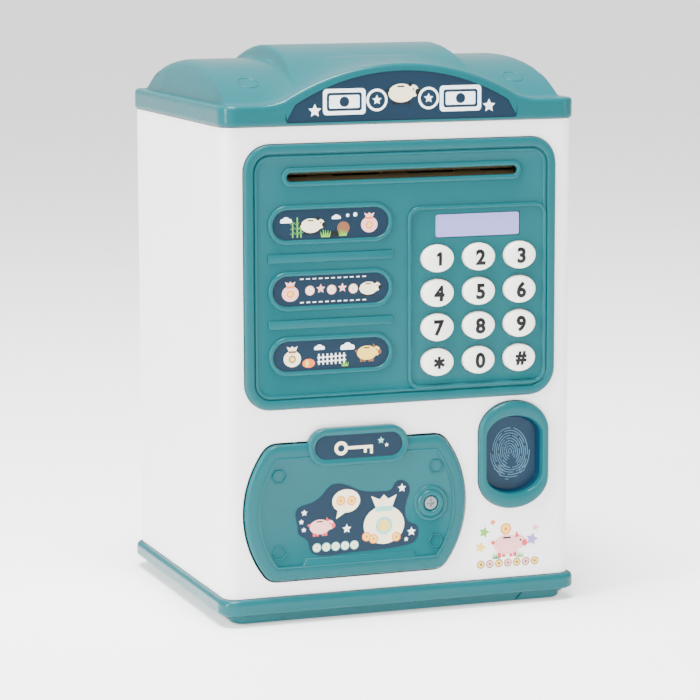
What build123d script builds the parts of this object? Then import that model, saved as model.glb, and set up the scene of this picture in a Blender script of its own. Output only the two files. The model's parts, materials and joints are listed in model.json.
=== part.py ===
from build123d import *
import math
import os

# Toy cash-machine money bank.  Millimetres, +Z up, front faces -Y, origin under the middle of the base.

# ---------------------------------------------------------------- overall
TOTAL_H = 200.2
BASE_W = 135.0
BASE_D = 115.0
BASE_R = 6.5
FOOT_LIFT = 0.5
FOOT_INSET = 2.8
FOOT_SIDE_INSET = 4.6
FLANGE_BOTTOM = 4.2
FLANGE_TOP = 9.7
TRAY_FLOOR = 2.8
TRAY_LIP_TOP = 14.0

BODY_W = 131.0
BODY_D = 110.4
BODY_R = 5.0
WALL = 2.2
BODY_TOP = 175.1
FRONT = BODY_D / 2
INNER_FRONT = FRONT - WALL
INNER_SIDE = BODY_W / 2 - WALL

BRIM_W = 132.0
BRIM_D = 113.0
BRIM_R = 5.5
BRIM_TOP = 182.3
ROOF_SKIN = 2.2
BRIM_EDGE = 0.8

POST_X = 59.6
POST_Y = 49.4
POST_R = 4.2
POST_LOW = 13.0
POST_HIGH = 22.0
PILOT_R = 1.1
SCREW_R = 1.1
SCREW_HEAD_R = 2.2
SCREW_HEAD_H = 1.6

# ---------------------------------------------------------------- roof curves
VAULT_APEX = 195.7
VAULT_HALF_CHORD = 49.5
VAULT_END = 62.7
VAULT_SHOULDER = 7.0
CROWN_APEX = TOTAL_H
CROWN_HALF_CHORD = 50.7
CROWN_BASE_HALF = 36.8
CROWN_TOP_HALF = 32.4
GABLE_APEX = 195.0
GABLE_HALF_CHORD = 44.4
GABLE_BACK = -24.0
GABLE_LIP = 3.0
GABLE_LIP_RISE = 0.8
SIGN_APEX = 193.2
SIGN_HALF_CHORD = 39.6
SIGN_DEPTH = 0.8
SIGN_THICK = 0.5
SIGN_GAP = 0.15
SIGN_BOTTOM = 176.0
SIGN_FLARE = 3.6

COIN_SLOT_L = 30.0
COIN_SLOT_W = 4.8
COIN_SLOT_Y = 22.0
COLLAR_WALL = 1.2
COLLAR_BOTTOM = 187.0
COLLAR_TOP = 196.0
COIN_SLOT_R = 1.0
CHUTE_FIT = 0.2
CHUTE_WALL = 1.2
CHUTE_BOTTOM = 150.0
CHUTE_TOP = 191.5

# ---------------------------------------------------------------- front panel
PANEL_W = 116.5
PANEL_H = 92.3
PANEL_Z = 122.6
PANEL_R = 9.0
PANEL_FACE = 56.7
PANEL_STEP = 56.35
PANEL_FLOOR = 55.6
PANEL_EDGE = 1.2
PANEL_RIM = 3.6
PANEL_STEP_RIM = 4.9
PANEL_INNER_R = 1.5
PLUG_INSET = 4.0
PLUG_GAP = 0.3
PLUG_BACK = 53.2

SLOT_X = 0.3
SLOT_Z = 157.3
SLOT_L = 85.8
SLOT_H = 3.0
SLOT_BORDER = 1.8
BEAD_H = 0.8
SLOT_EDGE = 0.6

LABEL_X = -26.6
LABEL_ZS = {"label_top": 140.75, "label_middle": 117.7, "label_bottom": 94.9}
LABEL_RING_L = 46.1
LABEL_RING_H = 13.9
LABEL_L = 42.4
LABEL_H = 11.2
LABEL_THICK = 0.3
LABEL_GAP = 0.2
RIB_ZS = (129.2, 106.1)
RIB_H = 3.2
RIB_RISE = 0.5

KEYPAD_X = 28.4
KEYPAD_Z = 113.1
KEYPAD_W = 53.0
KEYPAD_H = 65.0
KEYPAD_R = 4.5
KEYPAD_BEAD = 1.4

WINDOW_X = 28.5
WINDOW_Z = 138.3
WINDOW_W = 31.8
WINDOW_H = 8.0
WINDOW_R = 0.9
WINDOW_THICK = 0.6
WINDOW_GAP = 0.2

KEY_COLUMNS = (12.9, 28.6, 44.25)
KEY_ROWS = (127.0, 114.75, 102.5, 90.1)
KEY_NAMES = (
    ("key_1", "key_2", "key_3"),
    ("key_4", "key_5", "key_6"),
    ("key_7", "key_8", "key_9"),
    ("key_star", "key_0", "key_hash"),
)
KEY_W = 12.4
KEY_H = 10.0
KEY_GAP = 0.25
KEY_FACE = 58.6
KEY_FLANGE_W = 14.4
KEY_FLANGE_H = 11.6
KEY_FLANGE_FRONT = 53.1
KEY_FLANGE_BACK = 52.1
KEY_EDGE = 1.2

DOME_R = 3.6
DOME_FRONT = 52.1
MAT_FRONT = 50.6
MAT_BACK = 49.6
BOARD_BACK = 48.0

# ---------------------------------------------------------------- electronics bay
BAY_BACK = 35.4
BAY_SKIN = 1.6
BAY_BOTTOM = 77.0
BAY_TOP = 146.6
BAY_HALF_W = 58.0
COLUMN_R = 2.4
COLUMN_XS = (-50.4, -2.4)
COLUMN_ZS = (83.0, 140.6)

# ---------------------------------------------------------------- fingerprint station
FINGER_X = 42.6
FINGER_Z = 54.9
FINGER_W = 26.8
FINGER_H = 39.0
FINGER_STRAIGHT = 17.0
FINGER_FACE = 57.6
WELL_W = 21.6
WELL_H = 28.4
WELL_STRAIGHT = 13.6
WELL_DRAFT = 1.7
BEZEL_PLUG_W = 24.4
BEZEL_PLUG_H = 34.0
BEZEL_PLUG_STRAIGHT = 15.0
BEZEL_BACK = 51.5
PAD_W = 19.2
PAD_H = 26.0
PAD_FRONT = 52.6
PAD_FLANGE_FRONT = 51.3
PAD_BACK = 50.1
FINGER_BOARD_FRONT = 48.6
FINGER_BOARD_BACK = 47.0
FINGER_EDGE = 1.3
PAD_FLANGE_W = PAD_W + 3.0
PAD_FLANGE_H = PAD_H + 3.4
FINGER_DOME_R = 5.0
DOME_TAPER = 25.0
FINGER_BOARD_W = 33.0
FINGER_BOARD_H = 31.0
FINGER_BOARD_R = 1.5

# ---------------------------------------------------------------- safe door
DOOR_X = -17.4
DOOR_HALF_W = 41.35
DOOR_CORNER_X = 32.2
DOOR_BOTTOM = 15.4
DOOR_TOP = 64.0
DOOR_MID = (DOOR_BOTTOM + DOOR_TOP) / 2
DOOR_R = 6.0
DOOR_FACE = 57.2
DOOR_BACK = 54.9
DOOR_EDGE = 1.4
DOOR_GAP = 0.6
DOOR_FIELD_INSET = 5.2
DOOR_FIELD_DEPTH = 0.5
SKIRT_BACK = 51.6
SKIRT_INSET = 1.2
SKIRT_WALL = 1.6
PIVOT_X = -40.0
PIVOT_Y = -53.6
PIVOT_R = 1.0
PIVOT_RUN = 0.05
PIVOT_BARREL_R = 1.9
PIVOT_BARREL_L = 6.0
PIVOT_STUB_L = 3.4
PIVOT_STUB_ROOT = 1.0
PIVOT_BOSS_W = 6.0
TAB_X = -17.1
TAB_Z = 62.2
TAB_L = 37.6
TAB_H = 13.5
TAB_FACE = 58.3
TAB_BACK = FRONT + 0.15
TAB_EDGE = 1.0
TAB_POCKET = 0.9
TAB_POCKET_GAP = 0.4
TAB_LABEL_L = 32.0
TAB_LABEL_H = 8.4
LOCK_X = 10.2
LOCK_Z = 39.7
LOCK_RING_R = 6.2
LOCK_RING_RISE = 0.7
LOCK_BOSS_R = 4.4
LOCK_BOSS_RISE = 1.3
LOCK_HOLE_R = 1.3
LOCK_SEAT_R = 2.6
LOCK_SEAT = 1.0
LOCK_HEAD_R = 2.3
LOCK_HEAD_H = 1.1
LOCK_TIP = 50.0
CROSS_L = 2.6
CROSS_W = 0.6
CROSS_DEPTH = 0.4
HEX_XS = (-46.3, 12.2)
HEX_ZS = (52.8, 25.9)
HEX_R = 2.9
HEX_RIM = 0.8
HEX_RISE = 0.4
GRIP_TOP = 22.6
# the grip's ends, left and right of the door's middle, at its top and at the door's bottom edge
GRIP_TOP_ENDS = (19.0, 20.6)
GRIP_LOW_ENDS = (21.6, 23.0)

KEEPER_X0 = 16.5
KEEPER_X1 = 18.5
KEEPER_END = -35.5
KEEPER_H = 12.0
KEEPER_FOOT = 5.0
KEEPER_FOOT_T = 2.0
BOLT_Y = -40.0
BOLT_Z = 39.5
BOLT_TIP = 21.0
BOLT_HEAD_L = 6.0
BOLT_HEAD_W = 5.2
BOLT_R = 2.4
BOLT_RUN = 0.08
COIL_X0 = 35.0
COIL_X1 = 55.0
COIL_W = 11.0
COIL_CHEEK = 1.2
FRAME_T = 1.6
FRAME_FOOT_H = 12.0
BOLT_CHAMFER = 0.8
BOLT_TAIL_GAP = 2.0
SPRING_PITCH = 1.6
SPRING_R = 3.1
SPRING_WIRE_R = 0.3
SPRING_END_GAP = 0.4

# ---------------------------------------------------------------- note feeder
ROLLER_Y = -46.5
ROLLER_R = 4.6
NIP = 0.2
FEED_Z = SLOT_Z + ROLLER_R + NIP / 2
IDLER_Z = SLOT_Z - ROLLER_R - NIP / 2
SHAFT_R = 1.5
SHAFT_RUN = 0.06
TYRE_XS = (-28.0, 0.0, 28.0)
TYRE_L = 9.0
CHEEK_X = 46.4
CHEEK_T = 1.6
GEAR_X0 = 49.2
GEAR_FACE = 4.0
MODULE = 0.5
FEED_TEETH = 22
RELAY_TEETH = 24
PINION_TEETH = 12
GEAR_SLACK = 0.05
PRESSURE_ANGLE = 20.0
ADDENDUM = 0.72
DEDENDUM = 1.05
TOOTH_THINNING = 0.045
RELAY_Y = ROLLER_Y + MODULE * (FEED_TEETH + RELAY_TEETH) / 2 + GEAR_SLACK
PINION_ANGLE = 60.0
PINION_DIST = MODULE * (RELAY_TEETH + PINION_TEETH) / 2 + GEAR_SLACK
PINION_Y = RELAY_Y + PINION_DIST * math.cos(math.radians(PINION_ANGLE))
PINION_Z = FEED_Z + PINION_DIST * math.sin(math.radians(PINION_ANGLE))
MOTOR_X0 = 21.0
MOTOR_W = 20.0
MOTOR_H = 15.0
MOTOR_SHAFT_R = 1.0
MOTOR_BORE_X = MOTOR_X0 + 16.0
PINION_SHAFT_X = MOTOR_X0 + 17.0

# ---------------------------------------------------------------- back
BACK = BODY_D / 2
BACK_W = 108.0
BACK_H = 146.0
BACK_Z = 92.0
BACK_R = 5.0
REBATE = 3.0
REBATE_DEPTH = 1.5
COVER_GAP = 0.2
BATTERY_R = 7.15
BATTERY_L = 49.0
BATTERY_NUB = 1.2
BATTERY_NUB_R = 2.7
CONTACT_HALF_W = 5.0
CONTACT_TIP = 0.8
CONTACT_INNER = 3.6
CONTACT_T = 0.4
CONTACT_H = 6.0
BATTERY_PITCH = 15.0
BATTERY_Y = 45.6
BATTERY_ZS = tuple(50.0 + BATTERY_PITCH * i for i in (-1, 0, 1))
BAY_X = 30.5
BATTERY_LID_W = 70.0
BATTERY_LID_H = 53.0
BATTERY_LID_T = 1.5
SPEAKER_Z = 122.0
SPEAKER_R = 18.0
GRILLE_PITCH = 4.0
GRILLE_W = 1.8
SWITCH_X = 38.0
SWITCH_Z = 96.0
SWITCH_TRAVEL = 3.0


def front(depth):
    """Sketch plane at y = -depth: sketch x is X, sketch y is Z, and it extrudes towards the front."""
    return Plane.XZ.offset(depth)


def oval(width, height, straight, x=0.0, z=0.0):
    """Straight sides closed by half ellipses at the top and the bottom."""
    with Locations((x, z)):
        Rectangle(width, straight)
    with Locations((x, z + straight / 2), (x, z - straight / 2)):
        Ellipse(width / 2, (height - straight) / 2)


def stadium(length, height, x=0.0, z=0.0):
    with Locations((x, z)):
        SlotOverall(length, height)


def door_outline():
    """Flat top and bottom edges joined by two bulging arcs."""
    left, right = DOOR_X - DOOR_CORNER_X, DOOR_X + DOOR_CORNER_X
    with BuildLine() as outline:
        Line((left, DOOR_TOP), (right, DOOR_TOP))
        ThreePointArc((right, DOOR_TOP), (DOOR_X + DOOR_HALF_W, DOOR_MID), (right, DOOR_BOTTOM))
        Line((right, DOOR_BOTTOM), (left, DOOR_BOTTOM))
        ThreePointArc((left, DOOR_BOTTOM), (DOOR_X - DOOR_HALF_W, DOOR_MID), (left, DOOR_TOP))
    make_face(outline.edges())


def finish(piece, name):
    piece.part.label = name
    export_step(piece.part, f"parts/{name}.step")


os.makedirs("parts", exist_ok=True)

# ================================================================ base
FOOT_W = BASE_W - 2 * FOOT_SIDE_INSET
FOOT_D = BASE_D - 2 * FOOT_INSET
LIP_W = BODY_W - 2 * WALL - 0.3
LIP_D = BODY_D - 2 * WALL - 0.3
LIP_T = 1.6
LIP_R = 2.0
FLANGE_TOP_EDGE = 1.8
FLANGE_LOW_EDGE = 1.2
FOOT_EDGE = 1.6
HEEL_HALF = 42.5
HEEL_DEPTH = 0.6
HEEL_TOP = FLANGE_BOTTOM - 0.6
SCREW_WELL = 3.0
PAD_R = 5.0
PAD_RECESS = 0.8
PAD_X = 52.0
PAD_Y = 42.0
PAD_SPOTS = [(0.0, 0.0)] + [(sx * PAD_X, sy * PAD_Y) for sx in (-1, 1) for sy in (-1, 1)]

with BuildPart() as base_tray:
    with BuildSketch(Plane.XY.offset(FLANGE_BOTTOM)):
        RectangleRounded(BASE_W, BASE_D, BASE_R)
    extrude(amount=FLANGE_TOP - FLANGE_BOTTOM)
    fillet(base_tray.edges().group_by(Axis.Z)[-1], FLANGE_TOP_EDGE)
    fillet(base_tray.edges().group_by(Axis.Z)[0], FLANGE_LOW_EDGE)
    with BuildSketch(Plane.XY.offset(FOOT_LIFT)):
        RectangleRounded(FOOT_W, FOOT_D, BASE_R - 1.5)
    extrude(amount=FLANGE_BOTTOM - FOOT_LIFT)
    fillet(base_tray.edges().group_by(Axis.Z)[0], FOOT_EDGE)
    with BuildSketch(front(FOOT_D / 2 - HEEL_DEPTH)):
        with BuildLine():
            Polyline(
                (-HEEL_HALF, -1.0),
                (HEEL_HALF, -1.0),
                (HEEL_HALF + FLANGE_BOTTOM, HEEL_TOP),
                (-HEEL_HALF - FLANGE_BOTTOM, HEEL_TOP),
                close=True,
            )
        make_face()
    extrude(amount=HEEL_DEPTH + 1.0, mode=Mode.SUBTRACT)
    with BuildSketch(Plane.XY.offset(FLANGE_TOP)):
        RectangleRounded(LIP_W, LIP_D, BODY_R - WALL)
    extrude(amount=TRAY_LIP_TOP - FLANGE_TOP)
    with BuildSketch(Plane.XY.offset(TRAY_FLOOR)):
        RectangleRounded(LIP_W - 2 * LIP_T, LIP_D - 2 * LIP_T, LIP_R)
    extrude(amount=TRAY_LIP_TOP - TRAY_FLOOR, mode=Mode.SUBTRACT)
    # solid corner blocks that the screws pass through, cut back where the body's posts come down
    with BuildSketch(Plane.XY.offset(TRAY_FLOOR)):
        for sx in (-1, 1):
            for sy in (-1, 1):
                with Locations((sx * POST_X, sy * POST_Y)):
                    Circle(POST_R + 0.6)
    extrude(amount=FLANGE_TOP - TRAY_FLOOR)
    with BuildSketch(Plane.XY.offset(FLANGE_TOP)):
        for sx in (-1, 1):
            for sy in (-1, 1):
                with Locations((sx * POST_X, sy * POST_Y)):
                    Circle(POST_R + 0.3)
    extrude(amount=TRAY_LIP_TOP - FLANGE_TOP, mode=Mode.SUBTRACT)
    # notch in the lip for the body's lower pivot boss
    with BuildSketch(Plane.XY.offset(FLANGE_TOP)):
        with Locations((PIVOT_X, -LIP_D / 2)):
            Rectangle(PIVOT_BOSS_W + 1.0, 4.6)
    extrude(amount=TRAY_LIP_TOP - FLANGE_TOP, mode=Mode.SUBTRACT)
    with Locations(*[(sx * POST_X, sy * POST_Y, 0.0) for sx in (-1, 1) for sy in (-1, 1)]):
        Cylinder(SCREW_R + 0.15, FLANGE_TOP, align=(Align.CENTER, Align.CENTER, Align.MIN), mode=Mode.SUBTRACT)
        Cylinder(
            SCREW_HEAD_R + 0.3,
            FOOT_LIFT + SCREW_WELL,
            align=(Align.CENTER, Align.CENTER, Align.MIN),
            mode=Mode.SUBTRACT,
        )
    with Locations(*[(x, y, 0.0) for x, y in PAD_SPOTS]):
        Cylinder(
            PAD_R + 0.2,
            FOOT_LIFT + PAD_RECESS,
            align=(Align.CENTER, Align.CENTER, Align.MIN),
            mode=Mode.SUBTRACT,
        )
finish(base_tray, "base_tray")

with BuildPart() as rubber_feet:
    with Locations(*[(x, y, 0.0) for x, y in PAD_SPOTS]):
        Cylinder(PAD_R, FOOT_LIFT + PAD_RECESS, align=(Align.CENTER, Align.CENTER, Align.MIN))
finish(rubber_feet, "rubber_feet")

# ================================================================ body shell
PIVOT_HOLE_DEPTH = 2.4
PIVOT_BOSS_D = 2.4
PIVOT_BOSS_H = 4.0
FINGER_POST_R = 1.8
FINGER_POSTS = [(FINGER_X + sx * 14.6, FINGER_Z + sz * 13.0) for sx in (-1, 1) for sz in (-1, 1)]

with BuildPart() as body_shell:
    with BuildSketch(Plane.XY.offset(FLANGE_TOP)):
        RectangleRounded(BODY_W, BODY_D, BODY_R)
        RectangleRounded(BODY_W - 2 * WALL, BODY_D - 2 * WALL, BODY_R - WALL, mode=Mode.SUBTRACT)
    extrude(amount=BODY_TOP - FLANGE_TOP)
    # corner posts for the long case screws
    for z0, height in ((FLANGE_TOP, POST_LOW), (BODY_TOP - POST_HIGH, POST_HIGH)):
        with BuildSketch(Plane.XY.offset(z0)):
            for sx in (-1, 1):
                for sy in (-1, 1):
                    with Locations((sx * POST_X, sy * POST_Y)):
                        Circle(POST_R)
            RectangleRounded(BODY_W - 0.2, BODY_D - 0.2, BODY_R, mode=Mode.INTERSECT)
        extrude(amount=height)
        with Locations(*[(sx * POST_X, sy * POST_Y, z0) for sx in (-1, 1) for sy in (-1, 1)]):
            Cylinder(PILOT_R, height, align=(Align.CENTER, Align.CENTER, Align.MIN), mode=Mode.SUBTRACT)
    # pivot bosses behind the front wall, above and below the safe door
    for z0, height in ((DOOR_TOP + DOOR_GAP, PIVOT_BOSS_H), (FLANGE_TOP, DOOR_BOTTOM - DOOR_GAP - FLANGE_TOP)):
        with BuildSketch(Plane.XY.offset(z0)):
            with Locations((PIVOT_X, -INNER_FRONT + 0.9)):
                Rectangle(PIVOT_BOSS_W, PIVOT_BOSS_D)
        extrude(amount=height)
    # window behind the front panel
    with BuildSketch(front(INNER_FRONT - 1.0)):
        with Locations((0.0, PANEL_Z)):
            RectangleRounded(
                PANEL_W - 2 * (PLUG_INSET - PLUG_GAP),
                PANEL_H - 2 * (PLUG_INSET - PLUG_GAP),
                PANEL_R - PLUG_INSET,
            )
    extrude(amount=WALL + 2.0, mode=Mode.SUBTRACT)
    # safe opening, a running gap larger than the door
    with BuildSketch(front(INNER_FRONT - 4.0)):
        door_outline()
        fillet(vertices(), DOOR_R)
        offset(amount=DOOR_GAP)
    extrude(amount=WALL + 5.0, mode=Mode.SUBTRACT)
    # pivot holes
    with Locations(
        (PIVOT_X, PIVOT_Y, DOOR_TOP + DOOR_GAP),
        (PIVOT_X, PIVOT_Y, DOOR_BOTTOM - DOOR_GAP - PIVOT_HOLE_DEPTH),
    ):
        Cylinder(
            PIVOT_R + PIVOT_RUN,
            PIVOT_HOLE_DEPTH,
            align=(Align.CENTER, Align.CENTER, Align.MIN),
            mode=Mode.SUBTRACT,
        )
    # fingerprint opening and the posts of its board
    with BuildSketch(front(INNER_FRONT - 1.0)):
        oval(BEZEL_PLUG_W + 0.3, BEZEL_PLUG_H + 0.3, BEZEL_PLUG_STRAIGHT, FINGER_X, FINGER_Z)
    extrude(amount=WALL + 2.0, mode=Mode.SUBTRACT)
    with BuildSketch(front(FINGER_BOARD_FRONT)):
        with Locations(*FINGER_POSTS):
            Circle(FINGER_POST_R)
    extrude(amount=INNER_FRONT - FINGER_BOARD_FRONT + 0.5)
    # rear opening and the rebate of the back cover
    with BuildSketch(front(-BACK - 1.0)):
        with Locations((0.0, BACK_Z)):
            RectangleRounded(BACK_W, BACK_H, BACK_R)
    extrude(amount=WALL + 2.0, mode=Mode.SUBTRACT)
    with BuildSketch(front(-BACK - 1.0)):
        with Locations((0.0, BACK_Z)):
            RectangleRounded(BACK_W + 2 * REBATE, BACK_H + 2 * REBATE, BACK_R + REBATE)
    extrude(amount=REBATE_DEPTH + 1.0, mode=Mode.SUBTRACT)
finish(body_shell, "body_shell")


# ================================================================ roof
def vault_block(skin):
    """Barrel vault along X with rounded end walls, thinned by skin on every side."""
    apex, chord, end = VAULT_APEX - skin, VAULT_HALF_CHORD - skin, VAULT_END - skin
    shoulder_top = apex + 0.8
    with BuildPart() as block:
        with BuildSketch(Plane.YZ):
            with BuildLine():
                arc = ThreePointArc((chord, BRIM_TOP), (0.0, apex), (-chord, BRIM_TOP))
                Polyline(arc @ 1, (-chord, BODY_TOP), (chord, BODY_TOP), arc @ 0)
            make_face()
        extrude(amount=end, both=True)
        with BuildSketch(Plane.XZ):
            with BuildLine():
                low, top = end - VAULT_SHOULDER, shoulder_top
                bulge = math.sqrt(0.5)
                right = ThreePointArc(
                    (low, top),
                    (low + VAULT_SHOULDER * bulge, BRIM_TOP + (top - BRIM_TOP) * bulge),
                    (end, BRIM_TOP),
                )
                left = ThreePointArc(
                    (-end, BRIM_TOP),
                    (-low - VAULT_SHOULDER * bulge, BRIM_TOP + (top - BRIM_TOP) * bulge),
                    (-low, top),
                )
                Polyline(right @ 1, (end, BODY_TOP), (-end, BODY_TOP), left @ 0)
                Line(left @ 1, right @ 0)
            make_face()
        extrude(amount=BODY_D, both=True, mode=Mode.INTERSECT)
    return block.part


def crown_block(skin):
    """Higher middle stretch of the vault, with leaning end walls."""
    apex, chord = CROWN_APEX - skin, CROWN_HALF_CHORD - skin
    base, top = CROWN_BASE_HALF - skin, CROWN_TOP_HALF - skin
    with BuildPart() as block:
        with BuildSketch(Plane.YZ):
            with BuildLine():
                arc = ThreePointArc((chord, BRIM_TOP), (0.0, apex), (-chord, BRIM_TOP))
                Polyline(arc @ 1, (-chord, BODY_TOP), (chord, BODY_TOP), arc @ 0)
            make_face()
        extrude(amount=base, both=True)
        with BuildSketch(Plane.XZ):
            with BuildLine():
                Polyline(
                    (-base, BODY_TOP),
                    (base, BODY_TOP),
                    (base, BRIM_TOP),
                    (top, apex + 1.0),
                    (-top, apex + 1.0),
                    (-base, BRIM_TOP),
                    close=True,
                )
            make_face()
        extrude(amount=BODY_D, both=True, mode=Mode.INTERSECT)
    return block.part


def gable_block(apex, chord, back, face):
    """Arch across the front, from the plane y = back to the plane y = -face."""
    with BuildPart() as block:
        with BuildSketch(front(-back)):
            with BuildLine():
                arc = ThreePointArc((chord, BRIM_TOP), (0.0, apex), (-chord, BRIM_TOP))
                Polyline(arc @ 1, (-chord, BODY_TOP), (chord, BODY_TOP), arc @ 0)
            make_face()
        extrude(amount=face + back)
    return block.part


def sign_outline(shrink):
    """The sign's arch, closed by slanted ends and a flat bottom edge."""
    chord, apex = SIGN_HALF_CHORD - shrink, SIGN_APEX - shrink
    with BuildLine() as outline:
        arc = ThreePointArc((chord, BRIM_TOP), (0.0, apex), (-chord, BRIM_TOP))
        foot, bottom = chord + SIGN_FLARE, SIGN_BOTTOM + shrink
        Polyline(arc @ 1, (-foot, bottom), (foot, bottom), arc @ 0)
    make_face(outline.edges())


roof_blocks = [
    vault_block(0.0),
    crown_block(0.0),
    gable_block(GABLE_APEX, GABLE_HALF_CHORD, GABLE_BACK, BRIM_D / 2),
    # raised lip along the front edge of the gable
    gable_block(
        GABLE_APEX + GABLE_LIP_RISE,
        GABLE_HALF_CHORD + 2 * GABLE_LIP_RISE,
        GABLE_LIP - BRIM_D / 2,
        BRIM_D / 2,
    ),
]
roof_hollows = [
    vault_block(ROOF_SKIN),
    crown_block(ROOF_SKIN),
    gable_block(GABLE_APEX - ROOF_SKIN, GABLE_HALF_CHORD - ROOF_SKIN, GABLE_BACK, BRIM_D / 2 - ROOF_SKIN),
]

with BuildPart() as roof_lid:
    with BuildSketch(Plane.XY.offset(BODY_TOP)):
        RectangleRounded(BRIM_W, BRIM_D, BRIM_R)
    extrude(amount=BRIM_TOP - BODY_TOP)
    fillet(roof_lid.edges().group_by(Axis.Z)[-1], BRIM_EDGE)
    add(roof_blocks)
    add(roof_hollows, mode=Mode.SUBTRACT)
    # screw bosses in the corners
    with BuildSketch(Plane.XY.offset(BODY_TOP)):
        for sx in (-1, 1):
            for sy in (-1, 1):
                with Locations((sx * POST_X, sy * POST_Y)):
                    Circle(POST_R)
        RectangleRounded(BRIM_W - 1.0, BRIM_D - 1.0, BRIM_R, mode=Mode.INTERSECT)
    extrude(amount=BRIM_TOP - BODY_TOP - 1.0)
    with Locations(*[(sx * POST_X, sy * POST_Y, BODY_TOP) for sx in (-1, 1) for sy in (-1, 1)]):
        Cylinder(
            PILOT_R,
            BRIM_TOP - BODY_TOP - 1.6,
            align=(Align.CENTER, Align.CENTER, Align.MIN),
            mode=Mode.SUBTRACT,
        )
    # recess of the sign
    with BuildSketch(front(BRIM_D / 2 - SIGN_DEPTH)):
        sign_outline(0.0)
    extrude(amount=SIGN_DEPTH + 1.0, mode=Mode.SUBTRACT)
    # collar under the coin slot, then the slot itself
    with BuildSketch(Plane.XY.offset(COLLAR_BOTTOM)):
        with Locations((0.0, COIN_SLOT_Y)):
            Rectangle(COIN_SLOT_L + 2 * COLLAR_WALL, COIN_SLOT_W + 2 * COLLAR_WALL)
    extrude(amount=COLLAR_TOP - COLLAR_BOTTOM)
    with BuildSketch(Plane.XY.offset(COLLAR_BOTTOM)):
        with Locations((0.0, COIN_SLOT_Y)):
            RectangleRounded(COIN_SLOT_L, COIN_SLOT_W, COIN_SLOT_R)
    extrude(amount=TOTAL_H - COLLAR_BOTTOM, mode=Mode.SUBTRACT)
finish(roof_lid, "roof_lid")

with BuildPart() as roof_sign:
    with BuildSketch(front(BRIM_D / 2 - SIGN_DEPTH)):
        sign_outline(SIGN_GAP)
    extrude(amount=SIGN_THICK)
finish(roof_sign, "roof_sign")

with BuildPart() as coin_chute:
    inner_l = COIN_SLOT_L + 2 * COLLAR_WALL + CHUTE_FIT
    inner_w = COIN_SLOT_W + 2 * COLLAR_WALL + CHUTE_FIT
    with BuildSketch(Plane.XY.offset(CHUTE_BOTTOM)):
        with Locations((0.0, COIN_SLOT_Y)):
            Rectangle(inner_l + 2 * CHUTE_WALL, inner_w + 2 * CHUTE_WALL)
            Rectangle(inner_l, inner_w, mode=Mode.SUBTRACT)
    extrude(amount=CHUTE_TOP - CHUTE_BOTTOM)
finish(coin_chute, "coin_chute")

# ================================================================ front panel
PANEL_POST_R = 1.5
PANEL_POSTS = [(x, z) for z in (84.0, 139.0) for x in (3.2, 52.6)]
KEY_SPOTS = [(x, z) for z in KEY_ROWS for x in KEY_COLUMNS]

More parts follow.
